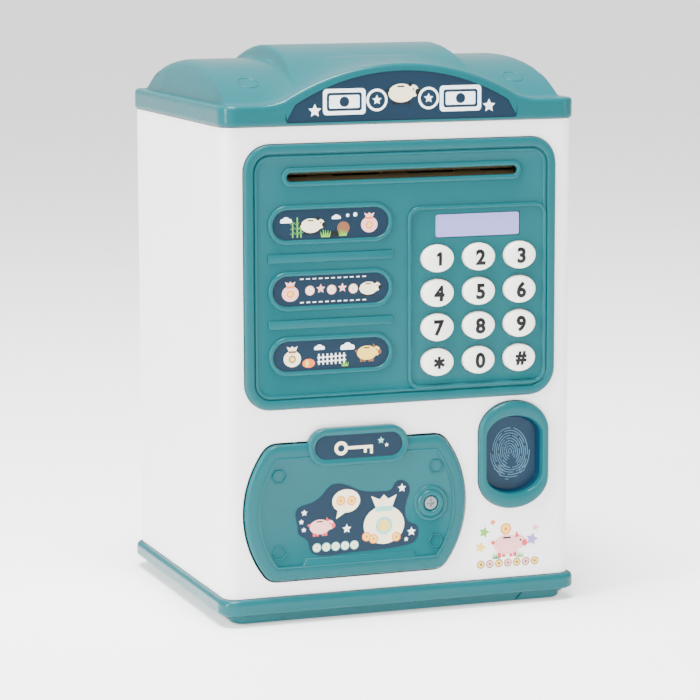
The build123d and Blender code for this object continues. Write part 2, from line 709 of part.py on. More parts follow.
with BuildPart() as front_panel:
    with BuildSketch(front(FRONT)):
        with Locations((0.0, PANEL_Z)):
            RectangleRounded(PANEL_W, PANEL_H, PANEL_R)
    extrude(amount=PANEL_FACE - FRONT)
    fillet(front_panel.edges().group_by(Axis.Y)[0], PANEL_EDGE)
    with BuildSketch(front(PANEL_STEP)):
        with Locations((0.0, PANEL_Z)):
            RectangleRounded(
                PANEL_W - 2 * PANEL_RIM,
                PANEL_H - 2 * PANEL_RIM,
                PANEL_R - PANEL_RIM + PANEL_INNER_R,
            )
    extrude(amount=1.0, mode=Mode.SUBTRACT)
    with BuildSketch(front(PANEL_FLOOR)):
        with Locations((0.0, PANEL_Z)):
            RectangleRounded(
                PANEL_W - 2 * PANEL_STEP_RIM,
                PANEL_H - 2 * PANEL_STEP_RIM,
                PANEL_R - PANEL_STEP_RIM + PANEL_INNER_R,
            )
    extrude(amount=1.0, mode=Mode.SUBTRACT)
    with BuildSketch(front(PLUG_BACK)):
        with Locations((0.0, PANEL_Z)):
            RectangleRounded(PANEL_W - 2 * PLUG_INSET, PANEL_H - 2 * PLUG_INSET, PANEL_R - PLUG_INSET)
    extrude(amount=FRONT - PLUG_BACK)
    # raised border of the note slot
    with BuildSketch(front(PANEL_FLOOR)):
        stadium(SLOT_L + 2 * SLOT_BORDER, SLOT_H + 2 * SLOT_BORDER, SLOT_X, SLOT_Z)
    extrude(amount=BEAD_H)
    fillet(front_panel.faces().filter_by(Axis.Y).group_by(Axis.Y)[1].edges(), SLOT_EDGE)
    # label rings
    with BuildSketch(front(PANEL_FLOOR)):
        for z in LABEL_ZS.values():
            stadium(LABEL_RING_L, LABEL_RING_H, LABEL_X, z)
            with Locations((LABEL_X, z)):
                SlotOverall(LABEL_L + LABEL_GAP, LABEL_H + LABEL_GAP, mode=Mode.SUBTRACT)
    extrude(amount=BEAD_H)
    # ribs between the labels
    with BuildSketch(front(PANEL_FLOOR)):
        with Locations(*[(LABEL_X, z) for z in RIB_ZS]):
            Rectangle(LABEL_RING_L, RIB_H)
    extrude(amount=RIB_RISE)
    # keypad frame
    with BuildSketch(front(PANEL_FLOOR)):
        with Locations((KEYPAD_X, KEYPAD_Z)):
            RectangleRounded(KEYPAD_W, KEYPAD_H, KEYPAD_R)
            RectangleRounded(
                KEYPAD_W - 2 * KEYPAD_BEAD,
                KEYPAD_H - 2 * KEYPAD_BEAD,
                KEYPAD_R - KEYPAD_BEAD,
                mode=Mode.SUBTRACT,
            )
    extrude(amount=BEAD_H)
    # display pocket
    with BuildSketch(front(PANEL_FLOOR - WINDOW_THICK - WINDOW_GAP)):
        with Locations((WINDOW_X, WINDOW_Z)):
            RectangleRounded(WINDOW_W + WINDOW_GAP, WINDOW_H + WINDOW_GAP, WINDOW_R + WINDOW_GAP / 2)
    extrude(amount=WINDOW_THICK + 1.0, mode=Mode.SUBTRACT)
    # note slot and key holes
    with BuildSketch(front(PLUG_BACK - 1.0)):
        stadium(SLOT_L, SLOT_H, SLOT_X, SLOT_Z)
        with Locations(*KEY_SPOTS):
            Ellipse(KEY_W / 2 + KEY_GAP, KEY_H / 2 + KEY_GAP)
    extrude(amount=6.0, mode=Mode.SUBTRACT)
    # posts for the keypad board
    with BuildSketch(front(MAT_BACK)):
        with Locations(*PANEL_POSTS):
            Circle(PANEL_POST_R)
    extrude(amount=PLUG_BACK - MAT_BACK)
finish(front_panel, "front_panel")

for label_name, label_z in LABEL_ZS.items():
    with BuildPart() as label:
        with BuildSketch(front(PANEL_FLOOR)):
            stadium(LABEL_L, LABEL_H, LABEL_X, label_z)
        extrude(amount=LABEL_THICK)
    finish(label, label_name)

with BuildPart() as display_window:
    with BuildSketch(front(PANEL_FLOOR - WINDOW_THICK - WINDOW_GAP)):
        with Locations((WINDOW_X, WINDOW_Z)):
            RectangleRounded(WINDOW_W, WINDOW_H, WINDOW_R)
    extrude(amount=WINDOW_THICK)
finish(display_window, "display_window")

# ================================================================ keys
for names, key_z in zip(KEY_NAMES, KEY_ROWS):
    for key_name, key_x in zip(names, KEY_COLUMNS):
        with BuildPart() as key:
            with BuildSketch(front(KEY_FLANGE_FRONT)):
                with Locations((key_x, key_z)):
                    Ellipse(KEY_W / 2, KEY_H / 2)
            extrude(amount=KEY_FACE - KEY_FLANGE_FRONT)
            fillet(key.edges().group_by(Axis.Y)[0], KEY_EDGE)
            with BuildSketch(front(KEY_FLANGE_BACK)):
                with Locations((key_x, key_z)):
                    Ellipse(KEY_FLANGE_W / 2, KEY_FLANGE_H / 2)
            extrude(amount=KEY_FLANGE_FRONT - KEY_FLANGE_BACK)
        finish(key, key_name)

with BuildPart() as key_domes:
    with BuildSketch(front(MAT_FRONT)):
        with Locations(*KEY_SPOTS):
            Circle(DOME_R)
    extrude(amount=DOME_FRONT - MAT_FRONT, taper=DOME_TAPER)
finish(key_domes, "key_domes")

MAT_X = 28.5
MAT_Z = 108.6
MAT_W = 46.6
MAT_H = 49.0
MAT_R = 2.0
KEY_BOARD_X = 28.2
KEY_BOARD_Z = 112.0
KEY_BOARD_W = 53.6
KEY_BOARD_H = 60.0

with BuildPart() as keypad_mat:
    with BuildSketch(front(MAT_BACK)):
        with Locations((MAT_X, MAT_Z)):
            RectangleRounded(MAT_W, MAT_H, MAT_R)
    extrude(amount=MAT_FRONT - MAT_BACK)
finish(keypad_mat, "keypad_mat")

with BuildPart() as keypad_board:
    with BuildSketch(front(BOARD_BACK)):
        with Locations((KEY_BOARD_X, KEY_BOARD_Z)):
            Rectangle(KEY_BOARD_W, KEY_BOARD_H)
    extrude(amount=MAT_BACK - BOARD_BACK)
finish(keypad_board, "keypad_board")

MAIN_X = -26.4
MAIN_Z = 111.8
MAIN_W = 42.0
MAIN_H = 50.0
MAIN_BACK = 42.4
MAIN_THICK = 1.6
MAIN_GAP = 0.2
CHIP_XZ = (-30.0, 116.0)
CHIP_W = 12.0
CHIP_H = 8.0
CAPACITOR_SPOTS = [(-14.0, 98.0), (-36.0, 96.0)]
CAPACITOR_R = 3.2
COMPONENT_RISE = 2.6
SHELF_FRONT = 52.8

with BuildPart() as main_board:
    with BuildSketch(front(MAIN_BACK)):
        with Locations((MAIN_X, MAIN_Z)):
            Rectangle(MAIN_W, MAIN_H)
    extrude(amount=MAIN_THICK)
    with BuildSketch(front(MAIN_BACK + MAIN_THICK)):
        with Locations(CHIP_XZ):
            Rectangle(CHIP_W, CHIP_H)
        with Locations(*CAPACITOR_SPOTS):
            Circle(CAPACITOR_R)
    extrude(amount=COMPONENT_RISE)
finish(main_board, "main_board")

with BuildPart() as electronics_cover:
    with BuildSketch(front(BAY_BACK)):
        with Locations((0.0, (BAY_BOTTOM + BAY_TOP) / 2)):
            Rectangle(2 * BAY_HALF_W, BAY_TOP - BAY_BOTTOM)
    extrude(amount=BAY_SKIN)
    for z0 in (BAY_BOTTOM, BAY_TOP - BAY_SKIN):
        with BuildSketch(Plane.XY.offset(z0)):
            with Locations((0.0, -(BAY_BACK + SHELF_FRONT) / 2)):
                Rectangle(2 * BAY_HALF_W, SHELF_FRONT - BAY_BACK)
        extrude(amount=BAY_SKIN)
    with BuildSketch(front(BAY_BACK)):
        with Locations(*[(x, z) for x in COLUMN_XS for z in COLUMN_ZS]):
            Circle(COLUMN_R)
    extrude(amount=PLUG_BACK - BAY_BACK)
    # seat that holds the main board
    with BuildSketch(front(MAIN_BACK)):
        with Locations((MAIN_X, MAIN_Z)):
            Rectangle(MAIN_W + MAIN_GAP, MAIN_H + MAIN_GAP)
    extrude(amount=MAIN_THICK, mode=Mode.SUBTRACT)
finish(electronics_cover, "electronics_cover")

# ================================================================ fingerprint station
with BuildPart() as fingerprint_bezel:
    with BuildSketch(front(FRONT)):
        oval(FINGER_W, FINGER_H, FINGER_STRAIGHT, FINGER_X, FINGER_Z)
    extrude(amount=FINGER_FACE - FRONT)
    fillet(fingerprint_bezel.edges().group_by(Axis.Y)[0], FINGER_EDGE)
    with BuildSketch(front(BEZEL_BACK)):
        oval(BEZEL_PLUG_W, BEZEL_PLUG_H, BEZEL_PLUG_STRAIGHT, FINGER_X, FINGER_Z)
    extrude(amount=FRONT - BEZEL_BACK)
    with BuildSketch(front(BEZEL_BACK)):
        oval(WELL_W - WELL_DRAFT, WELL_H - WELL_DRAFT, WELL_STRAIGHT, FINGER_X, FINGER_Z)
    with BuildSketch(front(FINGER_FACE)):
        oval(WELL_W, WELL_H, WELL_STRAIGHT, FINGER_X, FINGER_Z)
    loft(mode=Mode.SUBTRACT)
finish(fingerprint_bezel, "fingerprint_bezel")

with BuildPart() as fingerprint_pad:
    with BuildSketch(front(PAD_FLANGE_FRONT)):
        oval(PAD_W, PAD_H, WELL_STRAIGHT, FINGER_X, FINGER_Z)
    extrude(amount=PAD_FRONT - PAD_FLANGE_FRONT)
    with BuildSketch(front(PAD_BACK)):
        oval(PAD_FLANGE_W, PAD_FLANGE_H, WELL_STRAIGHT, FINGER_X, FINGER_Z)
    extrude(amount=PAD_FLANGE_FRONT - PAD_BACK)
finish(fingerprint_pad, "fingerprint_pad")

with BuildPart() as fingerprint_dome:
    with BuildSketch(front(FINGER_BOARD_FRONT)):
        with Locations((FINGER_X, FINGER_Z)):
            Circle(FINGER_DOME_R)
    extrude(amount=PAD_BACK - FINGER_BOARD_FRONT, taper=DOME_TAPER)
finish(fingerprint_dome, "fingerprint_dome")

with BuildPart() as fingerprint_board:
    with BuildSketch(front(FINGER_BOARD_BACK)):
        with Locations((FINGER_X, FINGER_Z)):
            RectangleRounded(FINGER_BOARD_W, FINGER_BOARD_H, FINGER_BOARD_R)
    extrude(amount=FINGER_BOARD_FRONT - FINGER_BOARD_BACK)
finish(fingerprint_board, "fingerprint_board")

STICKER_THICK = 0.15
FRONT_STICKER_XZ = (40.6, 23.1)
FRONT_STICKER_W = 27.4
FRONT_STICKER_H = 20.4
FRONT_STICKER_R = 5.0
with BuildPart() as front_sticker:
    with BuildSketch(front(FRONT)):
        with Locations(FRONT_STICKER_XZ):
            RectangleRounded(FRONT_STICKER_W, FRONT_STICKER_H, FRONT_STICKER_R)
    extrude(amount=STICKER_THICK)
finish(front_sticker, "front_sticker")

# ================================================================ safe door
FIELD = DOOR_FACE - DOOR_FIELD_DEPTH

with BuildPart() as door:
    with BuildSketch(front(DOOR_BACK)):
        door_outline()
        fillet(vertices(), DOOR_R)
    extrude(amount=DOOR_FACE - DOOR_BACK)
    fillet(door.edges().group_by(Axis.Y)[0], DOOR_EDGE)
    # sunk field, stopping short of the grip at the bottom
    with BuildSketch(front(FIELD)):
        door_outline()
        fillet(vertices(), DOOR_R)
        offset(amount=-DOOR_FIELD_INSET)
        with BuildLine():
            Polyline(
                (DOOR_X - GRIP_LOW_ENDS[0], DOOR_BOTTOM),
                (DOOR_X + GRIP_LOW_ENDS[1], DOOR_BOTTOM),
                (DOOR_X + GRIP_TOP_ENDS[1], GRIP_TOP),
                (DOOR_X - GRIP_TOP_ENDS[0], GRIP_TOP),
                close=True,
            )
        make_face(mode=Mode.SUBTRACT)
    extrude(amount=1.0, mode=Mode.SUBTRACT)
    # lock boss and the four hexagon studs
    with BuildSketch(front(FIELD)):
        with Locations((LOCK_X, LOCK_Z)):
            Circle(LOCK_RING_R)
    extrude(amount=LOCK_RING_RISE)
    with BuildSketch(front(FIELD)):
        with Locations((LOCK_X, LOCK_Z)):
            Circle(LOCK_BOSS_R)
    extrude(amount=LOCK_BOSS_RISE)
    with BuildSketch(front(FIELD)):
        with Locations(*[(x, z) for x in HEX_XS for z in HEX_ZS]):
            RegularPolygon(HEX_R, 6)
            RegularPolygon(HEX_R - HEX_RIM, 6, mode=Mode.SUBTRACT)
    extrude(amount=HEX_RISE)
    # skirt behind the plate
    with BuildSketch(front(SKIRT_BACK)):
        door_outline()
        fillet(vertices(), DOOR_R)
        offset(amount=-SKIRT_INSET)
    extrude(amount=DOOR_BACK - SKIRT_BACK)
    with BuildSketch(front(SKIRT_BACK)):
        door_outline()
        fillet(vertices(), DOOR_R)
        offset(amount=-SKIRT_INSET - SKIRT_WALL)
    extrude(amount=DOOR_BACK - SKIRT_BACK, mode=Mode.SUBTRACT)
    # pivot barrels and stubs
    for z0, z1 in ((DOOR_BOTTOM, DOOR_BOTTOM + PIVOT_BARREL_L), (DOOR_TOP - PIVOT_BARREL_L, DOOR_TOP)):
        with BuildSketch(Plane.XY.offset(z0)):
            with Locations((PIVOT_X, PIVOT_Y)):
                Circle(PIVOT_BARREL_R)
        extrude(amount=z1 - z0)
    with Locations(
        (PIVOT_X, PIVOT_Y, DOOR_TOP - PIVOT_STUB_ROOT),
        (PIVOT_X, PIVOT_Y, DOOR_BOTTOM + PIVOT_STUB_ROOT - PIVOT_STUB_L),
    ):
        Cylinder(PIVOT_R, PIVOT_STUB_L, align=(Align.CENTER, Align.CENTER, Align.MIN))
    # raised name tab over the top edge
    with BuildSketch(front(TAB_BACK)):
        stadium(TAB_L, TAB_H, TAB_X, TAB_Z)
    extrude(amount=TAB_FACE - TAB_BACK)
    fillet(door.edges().group_by(Axis.Y)[0], TAB_EDGE)
    with BuildSketch(front(TAB_FACE - TAB_POCKET)):
        stadium(TAB_LABEL_L + TAB_POCKET_GAP, TAB_LABEL_H + TAB_POCKET_GAP, TAB_X, TAB_Z)
    extrude(amount=2.0, mode=Mode.SUBTRACT)
    # screw hole in the lock boss
    with BuildSketch(front(DOOR_BACK - 1.0)):
        with Locations((LOCK_X, LOCK_Z)):
            Circle(LOCK_HOLE_R)
    extrude(amount=6.0, mode=Mode.SUBTRACT)
    with BuildSketch(front(DOOR_FACE - LOCK_SEAT)):
        with Locations((LOCK_X, LOCK_Z)):
            Circle(LOCK_SEAT_R)
    extrude(amount=3.0, mode=Mode.SUBTRACT)
finish(door, "door")

with BuildPart() as door_label:
    with BuildSketch(front(TAB_FACE - TAB_POCKET)):
        stadium(TAB_LABEL_L, TAB_LABEL_H, TAB_X, TAB_Z)
    extrude(amount=LABEL_THICK)
finish(door_label, "door_label")

# die-cut edge of the door sticker as (x, z), clockwise from its left end
STICKER_EDGE = [
    (-40.0, 36.4),
    (-38.8, 41.6),
    (-34.5, 42.8),
    (-30.2, 45.6),
    (-27.4, 48.4),
    (-22.3, 48.6),
    (-17.2, 46.4),
    (-14.1, 45.5),
    (-8.0, 45.1),
    (-4.6, 45.6),
    (-2.8, 48.2),
    (0.6, 48.2),
    (2.4, 45.6),
    (1.4, 41.7),
    (0.6, 36.9),
    (1.6, 33.8),
    (4.9, 32.0),
    (5.7, 29.4),
    (4.2, 26.2),
    (0.3, 25.0),
    (-7.5, 24.3),
    (-15.2, 24.1),
    (-24.4, 23.7),
    (-31.5, 23.8),
    (-35.0, 25.6),
    (-36.0, 29.2),
    (-39.2, 31.8),
]
with BuildPart() as door_sticker:
    with BuildSketch(front(FIELD)):
        with BuildLine():
            Spline(*STICKER_EDGE, periodic=True)
        make_face()
    extrude(amount=STICKER_THICK)
finish(door_sticker, "door_sticker")

with BuildPart() as lock_screw:
    with BuildSketch(front(DOOR_FACE - LOCK_SEAT)):
        with Locations((LOCK_X, LOCK_Z)):
            Circle(LOCK_HEAD_R)
    extrude(amount=LOCK_HEAD_H)
    with BuildSketch(front(DOOR_FACE - LOCK_SEAT)):
        with Locations((LOCK_X, LOCK_Z)):
            Circle(SCREW_R)
    extrude(amount=-(DOOR_FACE - LOCK_SEAT - LOCK_TIP))
    # cross recess
    with BuildSketch(front(DOOR_FACE - CROSS_DEPTH)):
        with Locations((LOCK_X, LOCK_Z)):
            Rectangle(CROSS_L, CROSS_W)
            Rectangle(CROSS_W, CROSS_L)
    extrude(amount=1.0, mode=Mode.SUBTRACT)
finish(lock_screw, "lock_screw")

with BuildPart() as latch_keeper:
    with BuildSketch(front(DOOR_BACK - KEEPER_FOOT_T)):
        with Locations(((LOCK_X - KEEPER_FOOT + KEEPER_X1) / 2, LOCK_Z)):
            Rectangle(KEEPER_X1 - LOCK_X + KEEPER_FOOT, KEEPER_H)
    extrude(amount=KEEPER_FOOT_T)
    with BuildSketch(front(-KEEPER_END)):
        with Locations(((KEEPER_X0 + KEEPER_X1) / 2, LOCK_Z)):
            Rectangle(KEEPER_X1 - KEEPER_X0, KEEPER_H)
    extrude(amount=DOOR_BACK + KEEPER_END)
    with BuildSketch(front(DOOR_BACK - 3.0)):
        with Locations((LOCK_X, LOCK_Z)):
            Circle(SCREW_R)
    extrude(amount=4.0, mode=Mode.SUBTRACT)
    with BuildSketch(Plane.YZ.offset(KEEPER_X0 - 1.0)):
        with Locations((BOLT_Y, BOLT_Z)):
            Rectangle(BOLT_HEAD_W + 1.0, BOLT_HEAD_W + 1.0)
    extrude(amount=4.0, mode=Mode.SUBTRACT)
finish(latch_keeper, "latch_keeper")

# ================================================================ latch
with BuildPart() as latch_bolt:
    with BuildSketch(Plane.YZ.offset(BOLT_TIP)):
        with Locations((BOLT_Y, BOLT_Z)):
            Rectangle(BOLT_HEAD_W, BOLT_HEAD_W)
    extrude(amount=BOLT_HEAD_L)
    chamfer(latch_bolt.edges().group_by(Axis.X)[0], BOLT_CHAMFER)
    with BuildSketch(Plane.YZ.offset(BOLT_TIP + BOLT_HEAD_L)):
        with Locations((BOLT_Y, BOLT_Z)):
            Circle(BOLT_R)
    extrude(amount=COIL_X1 - BOLT_TAIL_GAP - BOLT_TIP - BOLT_HEAD_L)
finish(latch_bolt, "latch_bolt")

with BuildPart() as latch_coil:
    with BuildSketch(Plane.YZ.offset(COIL_X0)):
        with Locations((BOLT_Y, BOLT_Z)):
            Rectangle(COIL_W, COIL_W)
    extrude(amount=COIL_CHEEK)
    with BuildSketch(Plane.YZ.offset(COIL_X1 - COIL_CHEEK)):
        with Locations((BOLT_Y, BOLT_Z)):
            Rectangle(COIL_W, COIL_W)
    extrude(amount=COIL_CHEEK)
    with BuildSketch(Plane.YZ.offset(COIL_X0 + COIL_CHEEK)):
        with Locations((BOLT_Y, BOLT_Z)):
            Circle(COIL_W / 2 - COIL_CHEEK / 2)
    extrude(amount=COIL_X1 - COIL_X0 - 2 * COIL_CHEEK)
    with BuildSketch(Plane.YZ.offset(COIL_X0)):
        with Locations((BOLT_Y, BOLT_Z)):
            Circle(BOLT_R + BOLT_RUN)
    extrude(amount=COIL_X1 - COIL_X0, mode=Mode.SUBTRACT)
finish(latch_coil, "latch_coil")

with BuildPart() as latch_spring:
    with BuildLine():
        turn = Helix(
            pitch=SPRING_PITCH,
            height=COIL_X0 - BOLT_TIP - BOLT_HEAD_L - 2 * SPRING_END_GAP,
            radius=SPRING_R,
            center=(0, 0, 0),
        )
    with BuildSketch(Plane(origin=turn @ 0, z_dir=turn % 0)):
        Circle(SPRING_WIRE_R)
    sweep()
spring_start = (BOLT_TIP + BOLT_HEAD_L + SPRING_END_GAP, BOLT_Y, BOLT_Z)
latch_spring.part = latch_spring.part.rotate(Axis.Y, 90).translate(spring_start)
finish(latch_spring, "latch_spring")

FRAME_Z = BOLT_Z - COIL_W / 2
with BuildPart() as latch_frame:
    with BuildSketch(Plane.XY.offset(FRAME_Z - FRAME_T)):
        with Locations(((COIL_X0 - FRAME_T + INNER_SIDE) / 2, BOLT_Y)):
            Rectangle(INNER_SIDE - COIL_X0 + FRAME_T, COIL_W)
    extrude(amount=FRAME_T)
    with BuildSketch(Plane.YZ.offset(COIL_X1)):
        with Locations((BOLT_Y, BOLT_Z)):
            Rectangle(COIL_W, COIL_W)
    extrude(amount=FRAME_T)
    with BuildSketch(Plane.YZ.offset(INNER_SIDE - FRAME_T)):
        with Locations((BOLT_Y, FRAME_Z + FRAME_FOOT_H / 2)):
            Rectangle(COIL_W, FRAME_FOOT_H)
    extrude(amount=FRAME_T)
finish(latch_frame, "latch_frame")


# ================================================================ note feeder
def gear_outline(teeth, y, z, first_tooth):
    """Involute spur gear with short teeth, thinned a little for backlash."""
    pressure = math.radians(PRESSURE_ANGLE)
    pitch_r = MODULE * teeth / 2
    base_r = pitch_r * math.cos(pressure)
    tip_r, root_r = pitch_r + ADDENDUM * MODULE, pitch_r - DEDENDUM * MODULE
    half_tooth = math.pi / teeth / 2 - TOOTH_THINNING / pitch_r
    spread = math.tan(pressure) - pressure
    flank = []
    for step in range(5):
        r = max(base_r, root_r) + (tip_r - max(base_r, root_r)) * step / 4
        roll = math.acos(min(1.0, base_r / r))
        flank.append((r, half_tooth + spread - (math.tan(roll) - roll)))
    if root_r < base_r:
        flank.insert(0, (root_r, flank[0][1]))
    points = []
    for tooth in range(teeth):
        middle = math.radians(first_tooth) + 2 * math.pi * tooth / teeth
        for side, pairs in ((-1, flank), (1, flank[::-1])):
            for r, half in pairs:
                angle = middle + side * half
                points.append((y + r * math.cos(angle), z + r * math.sin(angle)))
    with BuildLine() as outline:
        Polyline(*points, close=True)
    make_face(outline.edges())


CHEEK_Z0 = 147.4
CHEEK_Z1 = 172.0
CHEEK_FRONT = -52.8
CHEEK_BACK = -37.5
TONGUE_H = 12.0
BAR_Z = 160.9
BAR_D = 3.0
BAR_H = 2.0
MOTOR_PLATE_D = 17.0
MOTOR_PLATE_H = 20.0
MOTOR_PLATE_Z = 168.0
PINION_HOLE_R = 3.2
AXLE_END = 0.8
SHAFT_END = 1.2
FEED_SHAFT_END = 0.6
with BuildPart() as feed_bracket:
    for x0 in (-CHEEK_X - CHEEK_T, CHEEK_X):
        with BuildSketch(Plane.YZ.offset(x0)):
            with Locations(((CHEEK_FRONT + CHEEK_BACK) / 2, (CHEEK_Z0 + CHEEK_Z1) / 2)):
                Rectangle(CHEEK_BACK - CHEEK_FRONT, CHEEK_Z1 - CHEEK_Z0)
            with Locations(((-PLUG_BACK + CHEEK_BACK) / 2, SLOT_Z)):
                Rectangle(PLUG_BACK + CHEEK_BACK, TONGUE_H)
            with Locations((ROLLER_Y, FEED_Z), (ROLLER_Y, IDLER_Z)):
                Circle(SHAFT_R + SHAFT_RUN, mode=Mode.SUBTRACT)
        extrude(amount=CHEEK_T)
    # cross bars and the motor plate
    for bar_z in (BAR_Z, CHEEK_Z0 + BAR_H / 2):
        with BuildSketch(Plane.YZ.offset(-CHEEK_X)):
            with Locations((CHEEK_BACK - BAR_D / 2, bar_z)):
                Rectangle(BAR_D, BAR_H)
        extrude(amount=2 * CHEEK_X)
    with BuildSketch(Plane.YZ.offset(CHEEK_X)):
        with Locations((CHEEK_BACK + MOTOR_PLATE_D / 2, MOTOR_PLATE_Z)):
            Rectangle(MOTOR_PLATE_D, MOTOR_PLATE_H)
        with Locations((PINION_Y, PINION_Z)):
            Circle(PINION_HOLE_R, mode=Mode.SUBTRACT)
    extrude(amount=CHEEK_T)
    with BuildSketch(Plane.YZ.offset(CHEEK_X + CHEEK_T)):
        with Locations((RELAY_Y, FEED_Z)):
            Circle(SHAFT_R)
    extrude(amount=GEAR_X0 + GEAR_FACE - CHEEK_X - CHEEK_T + AXLE_END)
finish(feed_bracket, "feed_bracket")

for shaft_name, shaft_z, shaft_end in (
    ("feed_shaft", FEED_Z, GEAR_X0 + GEAR_FACE + FEED_SHAFT_END),
    ("idler_shaft", IDLER_Z, CHEEK_X + CHEEK_T + SHAFT_END),
):
    with BuildPart() as shaft:
        with BuildSketch(Plane.YZ.offset(-CHEEK_X - CHEEK_T - SHAFT_END)):
            with Locations((ROLLER_Y, shaft_z)):
                Circle(SHAFT_R)
        extrude(amount=shaft_end + CHEEK_X + CHEEK_T + SHAFT_END)
    finish(shaft, shaft_name)

for tyre_name, tyre_z in (("feed_tyres", FEED_Z), ("idler_tyres", IDLER_Z)):
    with BuildPart() as tyres:
        for tyre_x in TYRE_XS:
            with BuildSketch(Plane.YZ.offset(tyre_x - TYRE_L / 2)):
                with Locations((ROLLER_Y, tyre_z)):
                    Circle(ROLLER_R)
                    Circle(SHAFT_R, mode=Mode.SUBTRACT)
            extrude(amount=TYRE_L)
    finish(tyres, tyre_name)

for gear_name, gear_teeth, gear_y, gear_z, first, bore in (
    ("feed_gear", FEED_TEETH, ROLLER_Y, FEED_Z, 0.0, SHAFT_R),
    ("relay_gear", RELAY_TEETH, RELAY_Y, FEED_Z, 180.0 + 180.0 / RELAY_TEETH, SHAFT_R + SHAFT_RUN),
):
    with BuildPart() as gear:
        with BuildSketch(Plane.YZ.offset(GEAR_X0)):
            gear_outline(gear_teeth, gear_y, gear_z, first)
            with Locations((gear_y, gear_z)):
                Circle(bore, mode=Mode.SUBTRACT)
        extrude(amount=GEAR_FACE)
    finish(gear, gear_name)

with BuildPart() as motor_pinion:
    with BuildSketch(Plane.YZ.offset(GEAR_X0)):
        gear_outline(PINION_TEETH, PINION_Y, PINION_Z, PINION_ANGLE + 180.0)
    extrude(amount=GEAR_FACE)
    with BuildSketch(Plane.YZ.offset(PINION_SHAFT_X)):
        with Locations((PINION_Y, PINION_Z)):
            Circle(MOTOR_SHAFT_R)
    extrude(amount=GEAR_X0 - PINION_SHAFT_X)
finish(motor_pinion, "motor_pinion")

with BuildPart() as feed_motor:
    with BuildSketch(Plane.YZ.offset(MOTOR_X0)):
        with Locations((PINION_Y, PINION_Z)):
            Circle(MOTOR_W / 2)
            Rectangle(MOTOR_W, MOTOR_H, mode=Mode.INTERSECT)
    extrude(amount=CHEEK_X - MOTOR_X0)
    with BuildSketch(Plane.YZ.offset(MOTOR_BORE_X)):
        with Locations((PINION_Y, PINION_Z)):
            Circle(MOTOR_SHAFT_R + SHAFT_RUN)
    extrude(amount=CHEEK_X - MOTOR_BORE_X, mode=Mode.SUBTRACT)
finish(feed_motor, "feed_motor")

# ================================================================ back cover
BAY_Z0 = BATTERY_ZS[0] - BATTERY_R - 0.6
BAY_Z1 = BATTERY_ZS[-1] + BATTERY_R + 0.6
BAY_FRONT = BATTERY_Y - BATTERY_R - 0.4
BAY_WALL = 1.4
LID_Z = BATTERY_ZS[1]
COVER_INNER = BACK - REBATE_DEPTH
LID_SCREW_RISE = 24.0
COVER_PLUG = 1.5
LID_SEAT_R = 3.0
LID_R = 2.8
SPEAKER_RING_T = 1.6
SPEAKER_GAP = 0.2
SPEAKER_RING_H = 4.0
GRILLE_MARGIN = 3.0
GRILLE_ROWS = range(-3, 4)
SWITCH_SLOT_W = 9.0
SWITCH_SLOT_H = 4.4
RIDGE_ROWS = 5
RIDGE_PITCH = 2.0
RIDGE_LOW = -20.0
RIDGE_L = 18.0
RIDGE_W = 0.9
RIDGE_DEPTH = 0.4

with BuildPart() as back_cover:
    with BuildSketch(front(-BACK)):
        with Locations((0.0, BACK_Z)):
            RectangleRounded(
                BACK_W + 2 * (REBATE - COVER_GAP),
                BACK_H + 2 * (REBATE - COVER_GAP),
                BACK_R + REBATE - COVER_GAP,
            )
    extrude(amount=REBATE_DEPTH)
    with BuildSketch(front(-COVER_INNER)):
        with Locations((0.0, BACK_Z)):
            RectangleRounded(BACK_W - 2 * COVER_GAP, BACK_H - 2 * COVER_GAP, BACK_R - COVER_GAP)
    extrude(amount=COVER_PLUG)
    # battery box
    with BuildSketch(front(-COVER_INNER)):
        with Locations((0.0, LID_Z)):
            Rectangle(2 * (BAY_X + BAY_WALL), BAY_Z1 - BAY_Z0 + 2 * BAY_WALL)
    extrude(amount=COVER_INNER - BAY_FRONT + BAY_WALL)
    with BuildSketch(front(-BACK - 1.0)):
        with Locations((0.0, LID_Z)):
            Rectangle(2 * BAY_X, BAY_Z1 - BAY_Z0)
    extrude(amount=BACK + 1.0 - BAY_FRONT, mode=Mode.SUBTRACT)
    # seat of the battery lid
    with BuildSketch(front(-BACK - 1.0)):
        with Locations((0.0, LID_Z)):
            RectangleRounded(BATTERY_LID_W + 2 * COVER_GAP, BATTERY_LID_H + 2 * COVER_GAP, LID_SEAT_R)
    extrude(amount=1.0 + BATTERY_LID_T, mode=Mode.SUBTRACT)
    # speaker ring and grille
    with BuildSketch(front(-COVER_INNER + COVER_PLUG)):
        with Locations((0.0, SPEAKER_Z)):
            Circle(SPEAKER_R + SPEAKER_GAP + SPEAKER_RING_T)
            Circle(SPEAKER_R + SPEAKER_GAP, mode=Mode.SUBTRACT)
    extrude(amount=SPEAKER_RING_H)
    with BuildSketch(front(-BACK - 1.0)):
        for row in GRILLE_ROWS:
            reach = math.sqrt((SPEAKER_R - GRILLE_MARGIN) ** 2 - (row * GRILLE_PITCH) ** 2)
            with Locations((0.0, SPEAKER_Z + row * GRILLE_PITCH)):
                SlotOverall(2 * reach, GRILLE_W)
    extrude(amount=5.0, mode=Mode.SUBTRACT)
    # pilot hole of the battery lid's screw, and the switch slot
    with BuildSketch(front(-BACK - 1.0)):
        with Locations((0.0, LID_Z + LID_SCREW_RISE)):
            Circle(SCREW_R + PIVOT_RUN)
    extrude(amount=6.0, mode=Mode.SUBTRACT)
    with BuildSketch(front(-BACK - 1.0)):
        with Locations((SWITCH_X, SWITCH_Z)):
            Rectangle(SWITCH_SLOT_W, SWITCH_SLOT_H)
    extrude(amount=5.0, mode=Mode.SUBTRACT)
finish(back_cover, "back_cover")

